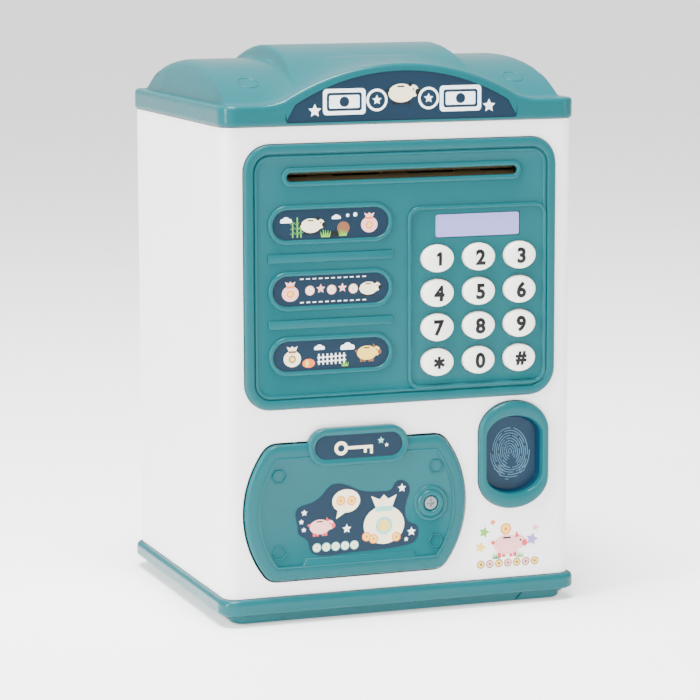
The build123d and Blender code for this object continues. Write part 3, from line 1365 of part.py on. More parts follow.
with BuildPart() as battery_cover:
    with BuildSketch(front(-BACK)):
        with Locations((0.0, LID_Z)):
            RectangleRounded(BATTERY_LID_W, BATTERY_LID_H, LID_R)
    extrude(amount=BATTERY_LID_T)
    with BuildSketch(front(-BACK - 1.0)):
        for row in range(RIDGE_ROWS):
            with Locations((0.0, LID_Z + RIDGE_LOW + RIDGE_PITCH * row)):
                Rectangle(RIDGE_L, RIDGE_W)
    extrude(amount=1.0 + RIDGE_DEPTH, mode=Mode.SUBTRACT)
    with BuildSketch(front(-BACK - 1.0)):
        with Locations((0.0, LID_Z + LID_SCREW_RISE)):
            Circle(SCREW_R + 0.15)
    extrude(amount=3.0, mode=Mode.SUBTRACT)
finish(battery_cover, "battery_cover")

with BuildPart() as batteries:
    for index, cell_z in enumerate(BATTERY_ZS):
        way = 1 if index % 2 == 0 else -1
        with BuildSketch(Plane.YZ.offset(-BATTERY_L / 2)):
            with Locations((BATTERY_Y, cell_z)):
                Circle(BATTERY_R)
        extrude(amount=BATTERY_L)
        nub_x = BATTERY_L / 2 if way > 0 else -BATTERY_L / 2 - BATTERY_NUB
        with BuildSketch(Plane.YZ.offset(nub_x)):
            with Locations((BATTERY_Y, cell_z)):
                Circle(BATTERY_NUB_R)
        extrude(amount=BATTERY_NUB)
finish(batteries, "batteries")

with BuildPart() as battery_contacts:
    for index, cell_z in enumerate(BATTERY_ZS):
        way = 1 if index % 2 == 0 else -1
        for side in (-1, 1):
            reach = BATTERY_L / 2 + (BATTERY_NUB if side == way else 0.0)
            with BuildSketch(Plane.XY.offset(cell_z - CONTACT_H / 2)):
                with BuildLine():
                    Polyline(
                        (side * BAY_X, BATTERY_Y - CONTACT_HALF_W),
                        (side * BAY_X, BATTERY_Y + CONTACT_HALF_W),
                        (side * (BAY_X - CONTACT_T), BATTERY_Y + CONTACT_HALF_W),
                        (side * reach, BATTERY_Y + CONTACT_TIP),
                        (side * reach, BATTERY_Y - CONTACT_TIP),
                        (side * (BAY_X - CONTACT_T), BATTERY_Y - CONTACT_HALF_W),
                        close=True,
                    )
                    Polyline(
                        (side * (BAY_X - CONTACT_T), BATTERY_Y - CONTACT_INNER),
                        (side * (reach + CONTACT_T), BATTERY_Y),
                        (side * (BAY_X - CONTACT_T), BATTERY_Y + CONTACT_INNER),
                        close=True,
                    )
                make_face()
            extrude(amount=CONTACT_H)
finish(battery_contacts, "battery_contacts")

SPEAKER_BACK = COVER_INNER - COVER_PLUG
SPEAKER_RIM_H = 2.0
SPEAKER_RIM_W = 2.0
CONE_H = 3.0
CONE_TAPER = 30.0
MAGNET_R = 9.0
MAGNET_H = 4.0

with BuildPart() as speaker:
    with BuildSketch(front(-SPEAKER_BACK)):
        with Locations((0.0, SPEAKER_Z)):
            Circle(SPEAKER_R)
    extrude(amount=SPEAKER_RIM_H)
    with BuildSketch(front(-SPEAKER_BACK + SPEAKER_RIM_H)):
        with Locations((0.0, SPEAKER_Z)):
            Circle(SPEAKER_R - SPEAKER_RIM_W)
    extrude(amount=CONE_H, taper=CONE_TAPER)
    with BuildSketch(front(-SPEAKER_BACK + SPEAKER_RIM_H + CONE_H)):
        with Locations((0.0, SPEAKER_Z)):
            Circle(MAGNET_R)
    extrude(amount=MAGNET_H)
finish(speaker, "speaker")

SWITCH_W = 14.0
SWITCH_H = 7.0
SWITCH_D = 5.0
SWITCH_CHANNEL_W = 7.4
SWITCH_CHANNEL_H = 2.8
SWITCH_CHANNEL_D = 2.0
KNOB_W = 3.6
KNOB_H = 2.4
KNOB_PROUD = 0.9
KNOB_ROOT = 1.6

with BuildPart() as switch_case:
    with BuildSketch(front(-SPEAKER_BACK)):
        with Locations((SWITCH_X, SWITCH_Z)):
            Rectangle(SWITCH_W, SWITCH_H)
    extrude(amount=SWITCH_D)
    with BuildSketch(front(-SPEAKER_BACK)):
        with Locations((SWITCH_X, SWITCH_Z)):
            Rectangle(SWITCH_CHANNEL_W, SWITCH_CHANNEL_H)
    extrude(amount=SWITCH_CHANNEL_D, mode=Mode.SUBTRACT)
finish(switch_case, "switch_case")

with BuildPart() as switch_knob:
    with BuildSketch(front(-BACK - KNOB_PROUD)):
        with Locations((SWITCH_X - SWITCH_TRAVEL / 2, SWITCH_Z)):
            Rectangle(KNOB_W, KNOB_H)
    extrude(amount=BACK + KNOB_PROUD - SPEAKER_BACK + KNOB_ROOT)
finish(switch_knob, "switch_knob")

# ================================================================ fasteners
BASE_SCREW_Z = FOOT_LIFT + 1.4
BASE_SCREW_L = 18.0
ROOF_SCREW_Z = BODY_TOP - POST_HIGH - SCREW_HEAD_H
ROOF_SCREW_L = 26.0
LID_SCREW_HEAD_H = 0.9
LID_SCREW_L = 4.5
LID_SCREW_SLOT_L = 2.8
LID_SCREW_SLOT_W = 0.6

with BuildPart() as case_screws:
    for sx in (-1, 1):
        for sy in (-1, 1):
            # up through the base into the body, and up through the body's top posts into the roof
            for head_z, length in ((BASE_SCREW_Z, BASE_SCREW_L), (ROOF_SCREW_Z, ROOF_SCREW_L)):
                with BuildSketch(Plane.XY.offset(head_z)):
                    with Locations((sx * POST_X, sy * POST_Y)):
                        Circle(SCREW_HEAD_R)
                extrude(amount=SCREW_HEAD_H)
                with BuildSketch(Plane.XY.offset(head_z + SCREW_HEAD_H)):
                    with Locations((sx * POST_X, sy * POST_Y)):
                        Circle(SCREW_R)
                extrude(amount=length)
finish(case_screws, "case_screws")

with BuildPart() as battery_cover_screw:
    with BuildSketch(front(-BACK - LID_SCREW_HEAD_H)):
        with Locations((0.0, LID_Z + LID_SCREW_RISE)):
            Circle(SCREW_HEAD_R)
            Rectangle(LID_SCREW_SLOT_L, LID_SCREW_SLOT_W, mode=Mode.SUBTRACT)
            Rectangle(LID_SCREW_SLOT_W, LID_SCREW_SLOT_L, mode=Mode.SUBTRACT)
    extrude(amount=LID_SCREW_HEAD_H)
    with BuildSketch(front(-BACK)):
        with Locations((0.0, LID_Z + LID_SCREW_RISE)):
            Circle(SCREW_R)
    extrude(amount=LID_SCREW_L)
finish(battery_cover_screw, "battery_cover_screw")
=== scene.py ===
"""Looks of the toy cash-machine money bank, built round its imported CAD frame.

Lengths inside the builders are millimetres; MM turns them into metres when a mesh is made.
The front faces -Y, so a front "depth" of d means the plane y = -d.
A profile is a list of (inset, depth) steps: how far an outline is drawn in, and the depth it then lies at.
"""

import json
from math import atan2, cos, degrees, hypot, pi, radians, sin, sqrt
from types import SimpleNamespace as Sizes

import bmesh
import bpy
import numpy as np
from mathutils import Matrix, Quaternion, Vector


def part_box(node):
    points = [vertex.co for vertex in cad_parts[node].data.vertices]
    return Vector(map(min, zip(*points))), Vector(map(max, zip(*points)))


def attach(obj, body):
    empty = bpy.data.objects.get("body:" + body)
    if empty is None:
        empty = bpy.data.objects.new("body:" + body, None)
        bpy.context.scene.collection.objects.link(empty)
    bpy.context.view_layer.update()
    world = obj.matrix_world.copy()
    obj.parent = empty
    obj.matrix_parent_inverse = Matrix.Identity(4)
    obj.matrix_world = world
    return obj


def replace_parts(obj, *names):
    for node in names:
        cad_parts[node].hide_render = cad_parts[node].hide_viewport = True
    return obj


MM = 0.001

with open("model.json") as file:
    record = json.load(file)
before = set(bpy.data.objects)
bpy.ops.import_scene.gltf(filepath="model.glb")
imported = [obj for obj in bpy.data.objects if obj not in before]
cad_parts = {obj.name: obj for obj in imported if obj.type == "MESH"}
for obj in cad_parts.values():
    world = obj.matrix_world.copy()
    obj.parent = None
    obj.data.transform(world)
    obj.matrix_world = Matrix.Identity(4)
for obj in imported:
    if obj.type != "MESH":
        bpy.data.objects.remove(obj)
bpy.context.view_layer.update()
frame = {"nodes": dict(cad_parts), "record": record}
nodes = frame["nodes"]


def low(node):
    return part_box(node)[0] / MM


def high(node):
    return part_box(node)[1] / MM


def node_centre(node):
    """Middle of a CAD node, seen from the front."""
    lo, hi = low(node), high(node)
    return (lo.x + hi.x) / 2, (lo.z + hi.z) / 2


# ---------------- materials
COAT_ROUGH = 0.12
DRIFT_RANGE = (0.25, 0.75)
ROUGH_BAND = (-0.05, 0.06)
LEAST_ROUGH = 0.02
RELIEF = 0.0002


def srgb(r, g, b):
    """Linear colour of 8-bit sRGB numbers."""
    return tuple(((c / 255.0 + 0.055) / 1.055) ** 2.4 if c > 10 else c / 255.0 / 12.92 for c in (r, g, b))


def noise(tree, coords, scale, detail):
    node = tree.nodes.new("ShaderNodeTexNoise")
    node.inputs["Scale"].default_value = scale
    node.inputs["Detail"].default_value = detail
    tree.links.new(coords.outputs["Object"], node.inputs["Vector"])
    return node


def material(name, colour, rough, spread=0.05, grain=420.0, bump=0.03, metal=0.0, coat=0.0, mottle=38.0,
             specular=0.5):
    """Moulded or printed surface: slow colour drift, roughness drift and a fine surface grain."""
    mat = bpy.data.materials.new(name)
    mat.use_nodes = True
    tree = mat.node_tree
    shader = tree.nodes["Principled BSDF"]
    for socket, value in (("Metallic", metal), ("Specular IOR Level", specular), ("Coat Weight", coat),
                          ("Coat Roughness", COAT_ROUGH)):
        shader.inputs[socket].default_value = value
    coords = tree.nodes.new("ShaderNodeTexCoord")
    drift = noise(tree, coords, mottle, 4.0)
    ramp = tree.nodes.new("ShaderNodeValToRGB")
    ramp.color_ramp.interpolation = "EASE"
    for end, place, shade in zip(ramp.color_ramp.elements, DRIFT_RANGE, (1.0 - spread, 1.0 + spread)):
        end.position = place
        end.color = (*[min(1.0, c * shade) for c in colour], 1.0)
    tree.links.new(drift.outputs["Fac"], ramp.inputs["Fac"])
    tree.links.new(ramp.outputs["Color"], shader.inputs["Base Color"])
    gloss = tree.nodes.new("ShaderNodeMapRange")
    gloss.inputs["To Min"].default_value = max(LEAST_ROUGH, rough + ROUGH_BAND[0])
    gloss.inputs["To Max"].default_value = rough + ROUGH_BAND[1]
    tree.links.new(drift.outputs["Fac"], gloss.inputs["Value"])
    tree.links.new(gloss.outputs["Result"], shader.inputs["Roughness"])
    fine = noise(tree, coords, grain, 3.0)
    relief = tree.nodes.new("ShaderNodeBump")
    relief.inputs["Strength"].default_value = bump
    relief.inputs["Distance"].default_value = RELIEF
    tree.links.new(fine.outputs["Fac"], relief.inputs["Height"])
    tree.links.new(relief.outputs["Normal"], shader.inputs["Normal"])
    return mat


LOOKS = {
    # colour, roughness and what differs from an ordinary plastic
    "white_plastic": ((244, 243, 244), 0.30, dict(spread=0.012)),
    "key_plastic": ((242, 243, 236), 0.25, dict(spread=0.015, bump=0.015)),
    "display_lens": ((138, 138, 200), 0.22, dict(spread=0.04, bump=0.01, coat=0.4)),
    "pad_plastic": ((8, 42, 63), 0.36, dict(spread=0.03, specular=0.2)),
    "silicone": ((190, 192, 196), 0.6, dict(bump=0.06)),
    "foot_rubber": ((40, 40, 42), 0.8, dict(grain=900.0, bump=0.2)),
    "tyre_rubber": ((112, 96, 62), 0.7, dict(grain=900.0, bump=0.2)),
    "board": ((24, 98, 56), 0.4, dict(spread=0.15, mottle=260.0)),
    "grey_plastic": ((78, 67, 43), 0.5, {}),
    "gear_plastic": ((228, 224, 208), 0.45, {}),
    "steel": ((196, 196, 198), 0.32, dict(metal=1.0, grain=700.0, bump=0.05)),
    "spring_steel": ((206, 206, 206), 0.28, dict(metal=1.0)),
    "black_steel": ((112, 118, 120), 0.3, dict(metal=0.9, bump=0.05)),
    "coil_wire": ((170, 88, 36), 0.4, dict(spread=0.2, mottle=500.0)),
    "cell_wrap": ((60, 70, 84), 0.25, {}),
    "black_plastic": ((30, 30, 32), 0.5, {}),
}
MATERIALS = {name: material(name, srgb(*rgb), rough, **more) for name, (rgb, rough, more) in LOOKS.items()}
for teal_name in ("teal_plastic", "panel_plastic", "door_plastic"):
    MATERIALS[teal_name] = material(teal_name, srgb(11, 80, 86), 0.22, spread=0.02, specular=0.18)
for print_name in ("sign_print", "label_print", "sticker_print"):
    MATERIALS[print_name] = material(print_name, srgb(5, 34, 52), 0.40, spread=0.06, bump=0.015, specular=0.2)

INKS = {
    "white": (240, 243, 246),
    "cream": (240, 228, 196),
    "black": (8, 8, 10),
    "green": (112, 172, 60),
    "leaf": (60, 128, 66),
    "orange": (226, 112, 42),
    "brown": (120, 78, 50),
    "yellow": (238, 200, 92),
    "pink": (238, 176, 170),
    "red": (206, 70, 78),
    "mint": (128, 200, 188),
    "violet": (150, 130, 190),
    "ridge": (84, 122, 142),
}
for ink, ink_rgb in INKS.items():
    MATERIALS["ink_" + ink] = material("ink_" + ink, srgb(*ink_rgb), 0.42, spread=0.04, bump=0.012,
                                       mottle=160.0, specular=0.25)


# ---------------- objects and meshes
def soften(obj, angle):
    """Smooth shading, kept crisp where faces meet at more than the given angle."""
    obj.data.polygons.foreach_set("use_smooth", [True] * len(obj.data.polygons))
    obj.data.set_sharp_from_angle(angle=radians(angle))


def new_mesh(name, verts, faces):
    """Mesh from millimetre vertices, with its faces turned outwards."""
    mesh = bpy.data.meshes.new(name)
    mesh.from_pydata([tuple(float(c) * MM for c in v) for v in verts], [], [tuple(f) for f in faces])
    work = bmesh.new()
    work.from_mesh(mesh)
    bmesh.ops.recalc_face_normals(work, faces=work.faces)
    work.to_mesh(mesh)
    work.free()
    mesh.update()
    return mesh


def new_object(name, data):
    obj = bpy.data.objects.new(name, data)
    bpy.context.scene.collection.objects.link(obj)
    return obj


def evaluated_mesh(obj):
    """The mesh that an object has after its modifiers, or that a curve turns into."""
    bpy.context.view_layer.update()
    return bpy.data.meshes.new_from_object(obj.evaluated_get(bpy.context.evaluated_depsgraph_get()))


def piece(name, verts, faces, mat, body, replaces=(), slot=None, smooth=35.0, face_mats=None):
    """A mesh object from millimetre vertices, riding on a CAD body. The slot argument is not used."""
    mesh = new_mesh(name, verts, faces)
    for mat_name in [mat] if isinstance(mat, str) else mat:
        mesh.materials.append(MATERIALS[mat_name])
    if face_mats is not None:
        mesh.polygons.foreach_set("material_index", face_mats)
    obj = new_object(name, mesh)
    soften(obj, smooth)
    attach(obj, body)
    slot or mat
    if replaces:
        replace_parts(obj, *replaces)
    return obj


def cut(obj, cutter_parts):
    """Takes closed solids out of a piece."""
    tool = new_object("cutter", new_mesh("cutter", *merge(cutter_parts)))
    modifier = obj.modifiers.new("cut", "BOOLEAN")
    modifier.operation = "DIFFERENCE"
    modifier.solver = "EXACT"
    modifier.object = tool
    result = evaluated_mesh(obj)
    obj.modifiers.clear()
    obj.data = result
    bpy.data.objects.remove(tool)
    soften(obj, 35.0)


# ---------------- solids from outlines
def loft(rings, closed=False):
    """Vertices and faces through rings of equal length. Open lofts get end caps, closed ones join up."""
    count = len(rings[0])
    verts = [p for ring in rings for p in ring]
    faces = []
    last = len(rings) if closed else len(rings) - 1
    for i in range(last):
        a, b = i * count, ((i + 1) % len(rings)) * count
        for j in range(count):
            k = (j + 1) % count
            faces.append((a + j, a + k, b + k, b + j))
    if not closed:
        faces.append(tuple(range(count)))
        faces.append(tuple(range((len(rings) - 1) * count, len(rings) * count)))
    return verts, faces


def merge(parts):
    """Joins (verts, faces) pairs into one pair."""
    verts, faces = [], []
    for part_verts, part_faces in parts:
        base = len(verts)
        verts += list(part_verts)
        faces += [tuple(i + base for i in f) for f in part_faces]
    return verts, faces


def front_ring(outline, depth):
    return [(x, -depth, z) for x, z in outline]


def stack(outline, profile, base=0.0, closed=False):
    """Loft through outline(inset) at each step of a profile, its depths counted from a base."""
    return loft([front_ring(outline(inset), base + depth) for inset, depth in profile], closed)


def prism(outline, back, front):
    return loft([front_ring(outline, back), front_ring(outline, front)])


def bead(outline, depth, width, rise, sink=0.4, steps=8, fullness=0.8):
    """Half-round ridge inside an outline: outline(inset) gives its points."""
    profile = [(0.0, -sink)]
    for i in range(steps + 1):
        a = pi * i / steps
        profile.append((width / 2 - width / 2 * cos(a), rise * sin(a) ** fullness))
    profile.append((width, -sink))
    return stack(outline, profile, depth, closed=True)


def tube(points, radius, sides=8):
    """A round rod through (x, depth, z) points of equal depth, closed at its ends."""
    rings = []
    for i, (x, depth, z) in enumerate(points):
        before, after = points[max(i - 1, 0)], points[min(i + 1, len(points) - 1)]
        along = Vector((after[0] - before[0], 0.0, after[2] - before[2])).normalized()
        side = Vector((along.z, 0.0, -along.x))
        ring = []
        for a in turns(sides):
            offset = side * (radius * cos(a)) + Vector((0.0, radius * sin(a), 0.0))
            ring.append((x + offset.x, -depth + offset.y, z + offset.z))
        rings.append(ring)
    return loft(rings)


# ---------------- outlines
def turns(count):
    """Angles evenly round a circle."""
    return [2 * pi * i / count for i in range(count)]


def arc_points(cx, cz, r, start, end, steps):
    angles = [radians(start + (end - start) * i / steps) for i in range(steps + 1)]
    return [(cx + r * cos(a), cz + r * sin(a)) for a in angles]


def rounded(cx, cz, w, h, r, inset=0.0, steps=10):
    """Rounded rectangle, drawn in by inset with its corner centres kept."""
    radius = max(r - inset, 0.05)
    half_w, half_h = (side / 2 - inset - radius for side in (w, h))
    points = []
    for sx, sz, start in ((1, 1, 0), (-1, 1, 90), (-1, -1, 180), (1, -1, 270)):
        points += arc_points(cx + sx * half_w, cz + sz * half_h, radius, start, start + 90, steps)
    return points


def stadium(cx, cz, length, height, inset=0.0, steps=14):
    return rounded(cx, cz, length, height, height / 2 - 0.001, inset, steps)


def oval(cx, cz, w, h, straight, steps=24):
    """Two half ellipses with straight sides between them."""
    points = []
    for start, side in ((0.0, 1), (pi, -1)):
        for i in range(steps + 1):
            a = start + pi * i / steps
            z = cz + side * straight / 2 + (h - straight) / 2 * sin(a)
            points.append((cx + w / 2 * cos(a), z))
    return points


def ellipse(cx, cz, rx, rz, steps=48):
    return [(cx + rx * cos(a), cz + rz * sin(a)) for a in turns(steps)]


# ---------------- roof
HALF_W, HALF_D, TOTAL_H = high("roof_lid")
BRIM_BOTTOM = low("roof_lid").z
BRIM_TOP = 182.3
CORNER_R = 5.5
EDGE_R = 1.4
SHELL = 2.2
# chord is half the width of an arc where it meets the brim's top
VAULT = Sizes(apex=195.7, chord=49.5, lift=0.2, end=62.7, end_lift=0.6, shoulder=7.0, power=2.7, fall=6.0)
CROWN = Sizes(apex=TOTAL_H, chord=50.7, base=36.8, slope=4.0)
GABLE = Sizes(apex=195.8, chord=44.4, back=-24.0, fall=2.0)
LIP = Sizes(depth=3.0, rise=1.3, flare=1.6, back_fall=3.0, side_fall=20.0)
SIGN = Sizes(apex=193.2, chord=39.6, flare=3.6, bottom=176.0, depth=0.8, thick=0.5, gap=0.12)
COIN_SLOT = Sizes(half_l=15.0, half_w=2.4, y=22.0)
ROOF_MARK = Sizes(x=50.0, y=-36.0, r=3.6, half_thick=0.2)
# width over which two roof surfaces run into each other
BLEND = Sizes(vault_end=2.6, crown_wall=4.2, crown=2.2, ledge=1.0, gable=5.0, lip=0.15)
GRID, LEAST_GRID = 1.15, 0.35
WALL_LINE, LIP_LINE = 0.5, 0.15
EDGE_LINES = [0.0, 0.12, 0.35, 0.7, 1.15, 1.7, 2.4, 3.2, 4.0, 4.8, CORNER_R]
# rows at the foot of the brim: height over its bottom, and how far the row is drawn in
BRIM_FOOT = ((0.5, 0.0), (0.15, 0.15), (0.0, 0.5))


def smooth_max(a, b, k):
    h = np.clip(0.5 + 0.5 * (a - b) / k, 0.0, 1.0)
    return a * h + b * (1.0 - h) + k * h * (1.0 - h)


def smooth_min(a, b, k):
    return -smooth_max(-a, -b, k)


def arch(t, apex, chord):
    """Circular arc that meets the brim's top at +-chord."""
    rise = apex - BRIM_TOP
    radius = (chord * chord + rise * rise) / (2.0 * rise)
    return apex - radius + np.sqrt(np.maximum(radius * radius - t * t, 0.0))


def roof_height(x, y):
    """Top of the roof: a vault with a raised crown, and a gable with its lip at the front."""
    past_end = np.abs(x) - VAULT.end
    side = np.clip((past_end + VAULT.shoulder) / VAULT.shoulder, 0.0, 1.0)
    rise = VAULT.apex - BRIM_TOP + VAULT.end_lift
    end = BRIM_TOP + rise * (1.0 - side ** VAULT.power) ** (1 / VAULT.power)
    end = end - VAULT.fall * np.maximum(past_end, 0.0)
    vault = smooth_min(arch(y, VAULT.apex + VAULT.lift, VAULT.chord), end, BLEND.vault_end)
    wall = BRIM_TOP + (CROWN.base - np.abs(x)) * CROWN.slope
    crown = smooth_min(arch(y, CROWN.apex, CROWN.chord), wall, BLEND.crown_wall)
    gable = arch(x, GABLE.apex - LIP.rise, GABLE.chord)
    gable = gable - GABLE.fall * np.maximum(y - GABLE.back, 0.0)
    body = smooth_max(vault, crown, BLEND.crown)
    body = smooth_max(body, np.full_like(x, BRIM_TOP), BLEND.ledge)
    body = smooth_max(body, gable, BLEND.gable)
    lip = arch(x, GABLE.apex, GABLE.chord + LIP.flare)
    lip = lip - LIP.back_fall * np.maximum(y + HALF_D - LIP.depth, 0.0)
    lip = lip - LIP.side_fall * np.maximum(np.abs(x) - GABLE.chord, 0.0)
    return smooth_max(body, lip, BLEND.lip)


def grid_lines(half, extra):
    """Lines from -half to half: close together at the edge, even in the middle, with some extra ones."""
    inner = half - CORNER_R
    count = int(2 * inner / GRID)
    middle = [-inner + 2 * inner * i / count for i in range(1, count)]
    middle = [m for m in middle if all(abs(m - e) > LEAST_GRID for e in extra)]
    lines = [-half + e for e in EDGE_LINES] + middle + list(extra) + [half - e for e in EDGE_LINES]
    return sorted(set(round(v, 4) for v in lines))


def roof_grid():
    """Grid lines with extra ones along the coin slot, the crown's walls, the sign's ends and the lip."""
    slot_x = [-COIN_SLOT.half_l, COIN_SLOT.half_l]
    slot_y = [COIN_SLOT.y - COIN_SLOT.half_w, COIN_SLOT.y + COIN_SLOT.half_w]
    wall_x = [s * (CROWN.base - WALL_LINE * i) for s in (-1, 1) for i in range(13)]
    wall_x += [s * (SIGN.chord + SIGN.flare * i / 6) for s in (-1, 1) for i in range(7)]
    lip_y = [-HALF_D + LIP.depth + LIP_LINE * i for i in range(-1, 4)]
    return grid_lines(HALF_W, slot_x + wall_x), grid_lines(HALF_D, slot_y + lip_y)


def round_corners(x, y):
    """Moves points in the corner squares so that the outer edge becomes an arc."""
    ax, ay = np.abs(x) - (HALF_W - CORNER_R), np.abs(y) - (HALF_D - CORNER_R)
    inside = (ax > 0) & (ay > 0)
    length = np.where(inside, np.hypot(ax, ay), 1.0)
    scale = np.where(inside, np.maximum(ax, ay) / length, 1.0)
    new_x = np.where(inside, np.sign(x) * (HALF_W - CORNER_R + ax * scale), x)
    new_y = np.where(inside, np.sign(y) * (HALF_D - CORNER_R + ay * scale), y)
    return new_x, new_y


def sign_arc(x):
    return float(arch(np.array(abs(x)), SIGN.apex, SIGN.chord))


def sign_top(x):
    """Height of the upper edge of the sign's pocket: its arc, and a slant at each end."""
    slant = SIGN.bottom + (SIGN.chord + SIGN.flare - abs(x)) * (BRIM_TOP - SIGN.bottom) / SIGN.flare
    arc = sign_arc(x) if abs(x) < SIGN.chord else slant
    return max(min(arc, slant), SIGN.bottom)


def brim_column(x, z, on_sign):
    """Rows of the outer wall below a rim point: (height, draw-in, step back into the sign's pocket)."""
    if on_sign:
        top, bottom, deep = sign_top(x), SIGN.bottom, SIGN.depth
        rows = [(top, 0.0, 0.0), (top, 0.0, deep), (bottom, 0.0, deep), (bottom, 0.0, 0.0)]
    else:
        fall = BRIM_BOTTOM + BRIM_FOOT[0][0] - z
        rows = [(z + fall * share, 0.0, 0.0) for share in (0.2, 0.4, 0.6, 0.8)]
    return rows + [(BRIM_BOTTOM + up, pull, 0.0) for up, pull in BRIM_FOOT]


def build_roof():
    """Closed shell over a grid: top, underside, coin slot, brim with the sign's pocket, and its foot."""
    xs, ys = roof_grid()
    nx, ny = len(xs), len(ys)
    gx, gy = np.meshgrid(np.array(xs), np.array(ys), indexing="ij")
    inset = np.minimum(HALF_W - np.abs(gx), HALF_D - np.abs(gy))
    px, py = round_corners(gx, gy)
    edge = EDGE_R - np.sqrt(np.maximum(EDGE_R ** 2 - (EDGE_R - inset) ** 2, 0.0))
    pz = np.minimum(roof_height(px, py) - np.where(inset < EDGE_R, edge, 0.0), TOTAL_H)
    shrink_x, shrink_y = (HALF_W - SHELL) / HALF_W, (HALF_D - SHELL) / HALF_D
    in_slot = np.abs(gx) <= COIN_SLOT.half_l + 0.01
    in_slot &= np.abs(gy - COIN_SLOT.y) <= COIN_SLOT.half_w + 0.01
    qx, qy = np.where(in_slot, px, px * shrink_x), np.where(in_slot, py, py * shrink_y)
    qz = roof_height(px, py) - SHELL

    verts = list(zip(px.flat, py.flat, pz.flat))
    under = len(verts)
    verts += zip(qx.flat, qy.flat, qz.flat)

    def at(i, j):
        return i * ny + j

    hole = {
        (i, j) for i in range(nx - 1) for j in range(ny - 1)
        if abs((xs[i] + xs[i + 1]) / 2) < COIN_SLOT.half_l
        and abs((ys[j] + ys[j + 1]) / 2 - COIN_SLOT.y) < COIN_SLOT.half_w
    }
    faces = []
    for i in range(nx - 1):
        for j in range(ny - 1):
            if (i, j) in hole:
                continue
            quad = (at(i, j), at(i + 1, j), at(i + 1, j + 1), at(i, j + 1))
            faces.append(quad)
            faces.append(tuple(under + q for q in reversed(quad)))
    # walls of the slot, on each side of a hole cell that has no hole beyond it
    sides = ((-1, 0, (0, 0), (0, 1)), (1, 0, (1, 0), (1, 1)), (0, -1, (0, 0), (1, 0)), (0, 1, (0, 1), (1, 1)))
    for i, j in hole:
        for di, dj, a, b in sides:
            if (i + di, j + dj) not in hole:
                p, q = at(i + a[0], j + a[1]), at(i + b[0], j + b[1])
                faces.append((p, q, under + q, under + p))

    rim = [(i, 0) for i in range(nx)] + [(nx - 1, j) for j in range(1, ny)]
    rim += [(i, ny - 1) for i in range(nx - 2, -1, -1)] + [(0, j) for j in range(ny - 2, 0, -1)]
    sign_end = SIGN.chord + SIGN.flare
    columns = [brim_column(px[i, j], pz[i, j], j == 0 and abs(px[i, j]) < sign_end) for i, j in rim]
    rows = [[at(i, j) for i, j in rim]]
    for row in zip(*columns):
        rows.append(range(len(verts), len(verts) + len(rim)))
        for (i, j), (height, pull, depth) in zip(rim, row):
            x, y = px[i, j] * (1 - pull / HALF_W), py[i, j] * (1 - pull / HALF_D)
            verts.append((x, y + depth, height))
    rows.append(range(len(verts), len(verts) + len(rim)))
    verts += [(px[i, j] * shrink_x, py[i, j] * shrink_y, BRIM_BOTTOM) for i, j in rim]
    rows.append([under + at(i, j) for i, j in rim])
    for a, b in zip(rows, rows[1:]):
        for k in range(len(rim)):
            m = (k + 1) % len(rim)
            faces.append((a[k], b[k], b[m], a[m]))
    piece("roof", verts, faces, "teal_plastic", "case", ["roof_lid"], smooth=40.0)


def build_roof_marks():
    """A faint ring near each end of the roof's front slope."""
    parts = []
    for side in (-1, 1):
        rings = []
        for a in turns(12):
            radius = ROOF_MARK.r + ROOF_MARK.half_thick * cos(a)
            ring = []
            for t in turns(36):
                x = side * ROOF_MARK.x + radius * cos(t)
                y = ROOF_MARK.y + radius * sin(t)
                z = float(roof_height(np.array([x]), np.array([y]))[0])
                ring.append((x, y, z + ROOF_MARK.half_thick * sin(a)))
            rings.append(ring)
        parts.append(loft(rings, closed=True))
    piece("roof_marks", *merge(parts), "teal_plastic", "case")


# ---------------- front panel
PANEL = Sizes(x=0.0, z=122.6, w=116.5, h=92.3, r=9.5, back=55.2, face=56.7, step=56.3, floor=55.6)
SLOT = Sizes(x=0.3, z=157.3, l=85.8, h=3.0, border=1.9)
KEYPAD = Sizes(x=28.4, z=113.1, w=53.0, h=65.0, r=4.5)
LABELS = {"label_top": 140.75, "label_middle": 117.7, "label_bottom": 94.9}
LABEL_X, RING_L, RING_H, RING_W = -26.6, 46.1, 13.9, 1.75
RIBS = Sizes(places=(129.2, 106.1), h=3.2, r=0.5)
WINDOW = Sizes(x=28.5, z=138.3, w=31.8, h=8.0, r=0.75, gap=0.25, sunk=0.55)
BEAD_RISE = 1.0
GUIDE = Sizes(mouth_y=-54.9, reach=3.2, nip=0.35, thick=1.0, overlap=0.6, clear=0.15)
# sizes of the black strips that paint the shade inside the gaps round the panel, the bezel, the roof and the
# base
GAP_SHADE = Sizes(width=0.28, proud=0.03, sunk=0.4, hidden=0.2, inner=0.3, roof=0.32, base=0.2, end=0.02)
KEY = Sizes(w=11.9, h=9.7, gap=0.3, flange_w=14.4, flange_h=11.6, top=58.5, skirt=57.0, flange=53.1,
            back=52.1)
KEYS = {"key_" + {"*": "star", "#": "hash"}.get(mark, mark): mark for mark in "123456789*0#"}
FINGER_X, FINGER_Z = node_centre("fingerprint_pad")
WELL = Sizes(w=21.6, h=28.4, straight=13.6)
RIM = Sizes(w=26.8, h=39.0, straight=17.0, face=57.6)
BODY_R = 5.0


def framed(size, inset=0.0, grow=0.0, steps=10):
    """Rounded outline of one of the groups of sizes, drawn in or grown all round."""
    return rounded(size.x, size.z, size.w + 2 * grow, size.h + 2 * grow, size.r + grow, inset, steps)


def slot_ring(inset):
    border = 2 * SLOT.border
    return stadium(SLOT.x, SLOT.z, SLOT.l + border, SLOT.h + border, inset)


